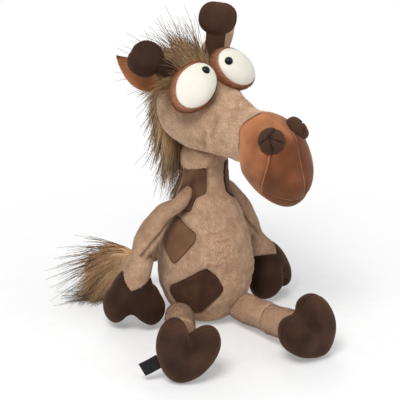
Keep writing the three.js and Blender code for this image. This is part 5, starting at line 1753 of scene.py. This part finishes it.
# painted shade: the creases are darker
head_tone, head_room = 0.62 - 0.7 * in_fold, 1 - 0.6 * in_fold
plush(head, "pile_head", "head", head_back_way, head_tone, head_room, seed=13, swirl=0.8)
for side, side_name in SIDES:
    sleeve = sleeves[side_name]
    places, _ = vertex_arrays(sleeve.data)
    fold_share = for_vertices(sleeve, sleeve_folds[side_name])
    arm_room = (1 - for_vertices(sleeve, hoof_seams[side_name])) * (1 - 0.6 * fold_share)
    # painted shade: darker in the folds and on the upper arm by the shoulder
    arm_tone = 0.46 - 0.6 * fold_share - 0.22 * smooth((places[:, 2] - 0.105) / 0.04)
    plush(sleeve, f"pile_{side_name}_arm", f"{side_name}_arm", DOWN, arm_tone, arm_room, seed=14)
    leg_way = feet[side_name]["sole"] + DOWN * 0.3
    plush(legs[side_name], f"pile_{side_name}_leg", f"{side_name}_leg", leg_way, 1.0, seed=15)
    ear_way = joint_at[f"{side_name}_ear_droop"] - NECK_CENTRE
    plush(ear_backs[side_name], f"pile_{side_name}_ear", f"{side_name}_ear", ear_way, 0.5, seed=16)
    plush(eye_backs[side_name], f"pile_eye_{side_name}", "head", eye_fronts[side_name], 0.8, seed=18,
          finish=rust_pile)
plush(tail, "pile_tail", "tail", (-1.0, 0.1, -0.1), 0.45, seed=17)

# %% [markdown]
# ## Long fur
# The crest, the mane and the tail's brush are one faux fur, with a brown underwool and guard hairs with
# black tips. Hair curves combed by hand would do, but here each root on a small patch says which way its
# strand sets out, how far its tip falls and how light it is. The patch itself isn't kept.

# %% Helpers for long fur


def along_strip(shares, knots):
    """Values between knots: each knot is its place on the strip and a list of numbers."""
    places = [knot[0] for knot in knots]
    values = np.array([knot[1] for knot in knots], float)
    return np.stack([np.interp(shares, places, values[:, k]) for k in range(values.shape[1])], axis=-1)


def fur(name, body_name, node, roots, way, fall, tone, room=1.0, *, strands, seed, **values):
    """Long fur on a grid of roots, with about as many strands as asked for."""
    mesh = bpy.data.meshes.new(f"{name}_roots")
    mesh.from_pydata([tuple(root) for root in roots.reshape(-1, 3)], [], sheet_quads(*roots.shape[:2]))
    count = len(mesh.vertices)
    set_attributes(
        mesh,
        way=np.broadcast_to(way, (count, 3)),
        fall=np.broadcast_to(fall, (count, 3)),
        tone=np.broadcast_to(tone, count),
        room=np.broadcast_to(room, count),
    )
    area = sum(face.area for face in mesh.polygons)
    settings = dict(Thickness=0.00020, Stray=0.12, Lock_Size=0.006, Lock_Spread=0.5, Shortest=0.5)
    settings.update(values)
    coat = grow(name, fur_tree, mesh, Density=strands / area, Seed=seed, Finish=long_fur, **settings)
    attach(coat, body_name)
    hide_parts(node)


def on_crown(pitch, slant):
    """A point on the skull's dome, in degrees back from its top and aside from its middle."""
    pitch, slant = np.radians(pitch), np.radians(slant)
    return from_head(np.stack([
        CRANIUM_HALF_WIDTH * np.sin(slant),
        CRANIUM_BEHIND + CRANIUM_LENGTH * np.cos(slant) * np.sin(pitch),
        CRANIUM_ABOVE + CRANIUM_HALF_HEIGHT * np.cos(slant) * np.cos(pitch),
    ], axis=-1))


print("helpers for long fur ready")

# %% [markdown]
# ## Crest
# The crest stands up between the horns, fans out, and sweeps back and down behind the head. Its front is
# loose and its back lies close, so they are two coats. A few long black guard hairs stand out of both.

# %% Crest
CREST_WAYS = [
    (-26, (-0.50, 0.10, 0.80, 0.034, 0.40)),
    (0, (-0.50, 0.30, 0.76, 0.044, 0.44)),
    (30, (-0.50, 0.50, 0.60, 0.042, 0.42)),
    (55, (-0.34, 0.45, -0.45, 0.032, 0.40)),
    (80, (-0.14, 0.22, -0.94, 0.034, 0.40)),
    (115, (-0.06, 0.12, -0.98, 0.048, 0.40)),
    (150, (-0.06, 0.05, -0.99, 0.056, 0.38)),
]  # pitch in degrees from the top: the strands' direction, length and tone
CREST_SLANT_FRONT, CREST_SLANT_BACK = 20, 32
CREST_FAN_FRONT, CREST_FAN_BACK = 0.60, 0.12
GUARD_TONE = 0.03
pitches, shares_across = np.meshgrid(np.linspace(-26, 150, 60), np.linspace(-1, 1, 20), indexing="ij")
aslants = shares_across * (CREST_SLANT_FRONT + (CREST_SLANT_BACK - CREST_SLANT_FRONT) * smooth(pitches / 90))
crest_points = on_crown(pitches, aslants)
crest_values = along_strip(pitches.ravel(), CREST_WAYS)
fan_share = CREST_FAN_FRONT + (CREST_FAN_BACK - CREST_FAN_FRONT) * smooth(pitches.ravel() / 60)
fan = np.outer(shares_across.ravel() * fan_share, head_turn @ np.array([1.0, 0, 0]))
crest_way = unit(unit(crest_values[:, :3]) + fan) * crest_values[:, 3:4]
crest_fall = np.outer(crest_values[:, 3] * 0.25, DOWN)
front_share = smooth((62 - pitches.ravel()) / 20)
crest = ("head", "crest_fur", crest_points)
fur("fur_crest", *crest, crest_way, crest_fall, crest_values[:, 4], front_share, strands=8800, seed=21)
fur("fur_crest_back", *crest, crest_way, crest_fall, crest_values[:, 4], 1 - front_share,
    strands=8800, seed=28, Stray=0.05, Lock_Spread=0.24)
guard_room = np.where(pitches.ravel() < 45, 0.8, 1.0)
guard_way = crest_way * np.where(pitches.ravel() < 45, 1.5, 1.2)[:, None]
fur("fur_crest_guard", *crest, guard_way, crest_fall, GUARD_TONE, guard_room,
    strands=900, seed=22, Thickness=0.00036, Stray=0.16, Shortest=0.7)

# %% [markdown]
# ## Forelock
# A lock of the crest falls forward over the brow on the toy's right. All its strands set out the same way.

# %% Forelock
FORELOCK_WAY = unit(np.array([-0.86, -0.50, 0.10])) * 0.046
FORELOCK_FALL = DOWN * 0.013
forelock_points = on_crown(*np.meshgrid(np.linspace(-40, 4, 16), np.linspace(-34, 8, 16), indexing="ij"))
fur("fur_forelock", "head", "crest_fur", forelock_points, FORELOCK_WAY, FORELOCK_FALL, 0.36,
    strands=3000, seed=25)

# %% [markdown]
# ## Mane
# The mane hangs down the back of the neck and swings a little to the toy's right. It grows on a strip of
# the body.

# %% Mane
MANE_WAYS = [
    (0.096, (-0.45, 0.30, -0.85, 0.040, 0.36)),
    (0.140, (-0.50, 0.22, -0.85, 0.044, 0.38)),
    (0.190, (-0.55, 0.18, -0.82, 0.048, 0.38)),
]  # height on the neck: the strands' direction, length and tone
mane_turns, mane_heights = np.meshgrid(np.linspace(-34, 30, 16), np.linspace(0.096, 0.190, 40))
mane_values = along_strip(mane_heights.ravel(), MANE_WAYS)
mane_way = unit(mane_values[:, :3]) * mane_values[:, 3:4]
mane_fall = np.outer(mane_values[:, 3] * 0.35, DOWN)
mane = ("torso", "neck_mane", on_body(180 + mane_turns, mane_heights))
fur("fur_mane", *mane, mane_way, mane_fall, mane_values[:, 4],
    strands=4800, seed=23, Stray=0.06, Lock_Spread=0.28)
fur("fur_mane_guard", *mane, mane_way * 1.2, mane_fall, GUARD_TONE,
    strands=600, seed=26, Thickness=0.00034, Stray=0.05, Lock_Spread=0.22)

# %% [markdown]
# ## Tail brush
# The brush spreads from the tail's end like a worn paintbrush, flatter from front to back than it is tall.
# The wool is short and pale, and the guard hairs are longer, black, and most of them low.

# %% Tail brush
TUFT_LENGTH, TUFT_WOOL, TUFT_GUARD_TONE = 0.092, 0.64, 0.05
TUFT_SPREAD = np.array([1.0, 0.4, 1.0]) * 0.84
TUFT_ROOT_RADIUS, TUFT_ROOT_LENGTH = 0.0105, 0.018
TUFT_FALL = (0, -0.12, -0.32)  # as shares of a strand's length
tuft_along = unit(tail_path[-1] - tail_path[-8])
caps, tuft_turns = np.meshgrid(np.linspace(0, 1, 24), np.linspace(0, 2 * np.pi, 49), indexing="ij")
swing = np.radians(8 + 82 * caps)
tuft_ring = np.cos(tuft_turns)[..., None] * tail_across[-1] + np.sin(tuft_turns)[..., None] * tail_thick[-1]
tuft_points = tail_path[-1] + tuft_ring * (TUFT_ROOT_RADIUS * np.sin(swing))[..., None]
tuft_points = tuft_points - tuft_along * (TUFT_ROOT_LENGTH * caps ** 1.5)[..., None]
tuft_way = unit(tuft_along + tuft_ring * TUFT_SPREAD * np.sin(swing)[..., None]).reshape(-1, 3)
tuft_up = tuft_ring[..., 2].ravel()
tuft_reach = TUFT_LENGTH * (1 - 0.30 * caps.ravel()) * (1 - 0.12 * tuft_up * caps.ravel())
tuft_fall = np.outer(tuft_reach, TUFT_FALL)
tuft_low = np.clip(-tuft_up, 0, 1) * caps.ravel()
tuft_ways = tuft_way * tuft_reach[:, None]
tuft = ("tail", "tail_tuft", tuft_points)
fur("fur_tuft", *tuft, tuft_ways * TUFT_WOOL, tuft_fall, 1.0 - 0.4 * tuft_low,
    strands=6800, seed=24, Stray=0.10, Lock_Spread=0.32)
fur("fur_tuft_guard", *tuft, tuft_ways, tuft_fall, TUFT_GUARD_TONE, 0.14 + tuft_low,
    strands=1500, seed=27, Thickness=0.00038, Stray=0.10, Lock_Spread=0.32, Shortest=0.75)

# %% [markdown]
# ## Inner pieces
# The pouch of pellets that weights the seat is hidden. Its solid is shown as it is, with a plain cloth
# finish.

# %% Inner pieces
pellet_mesh = frame["nodes"]["pellet_bag"].data
pellet_mesh.materials.clear()
pellet_mesh.materials.append(pellet_grain)
print("pellet bag", len(pellet_mesh.polygons), "faces")
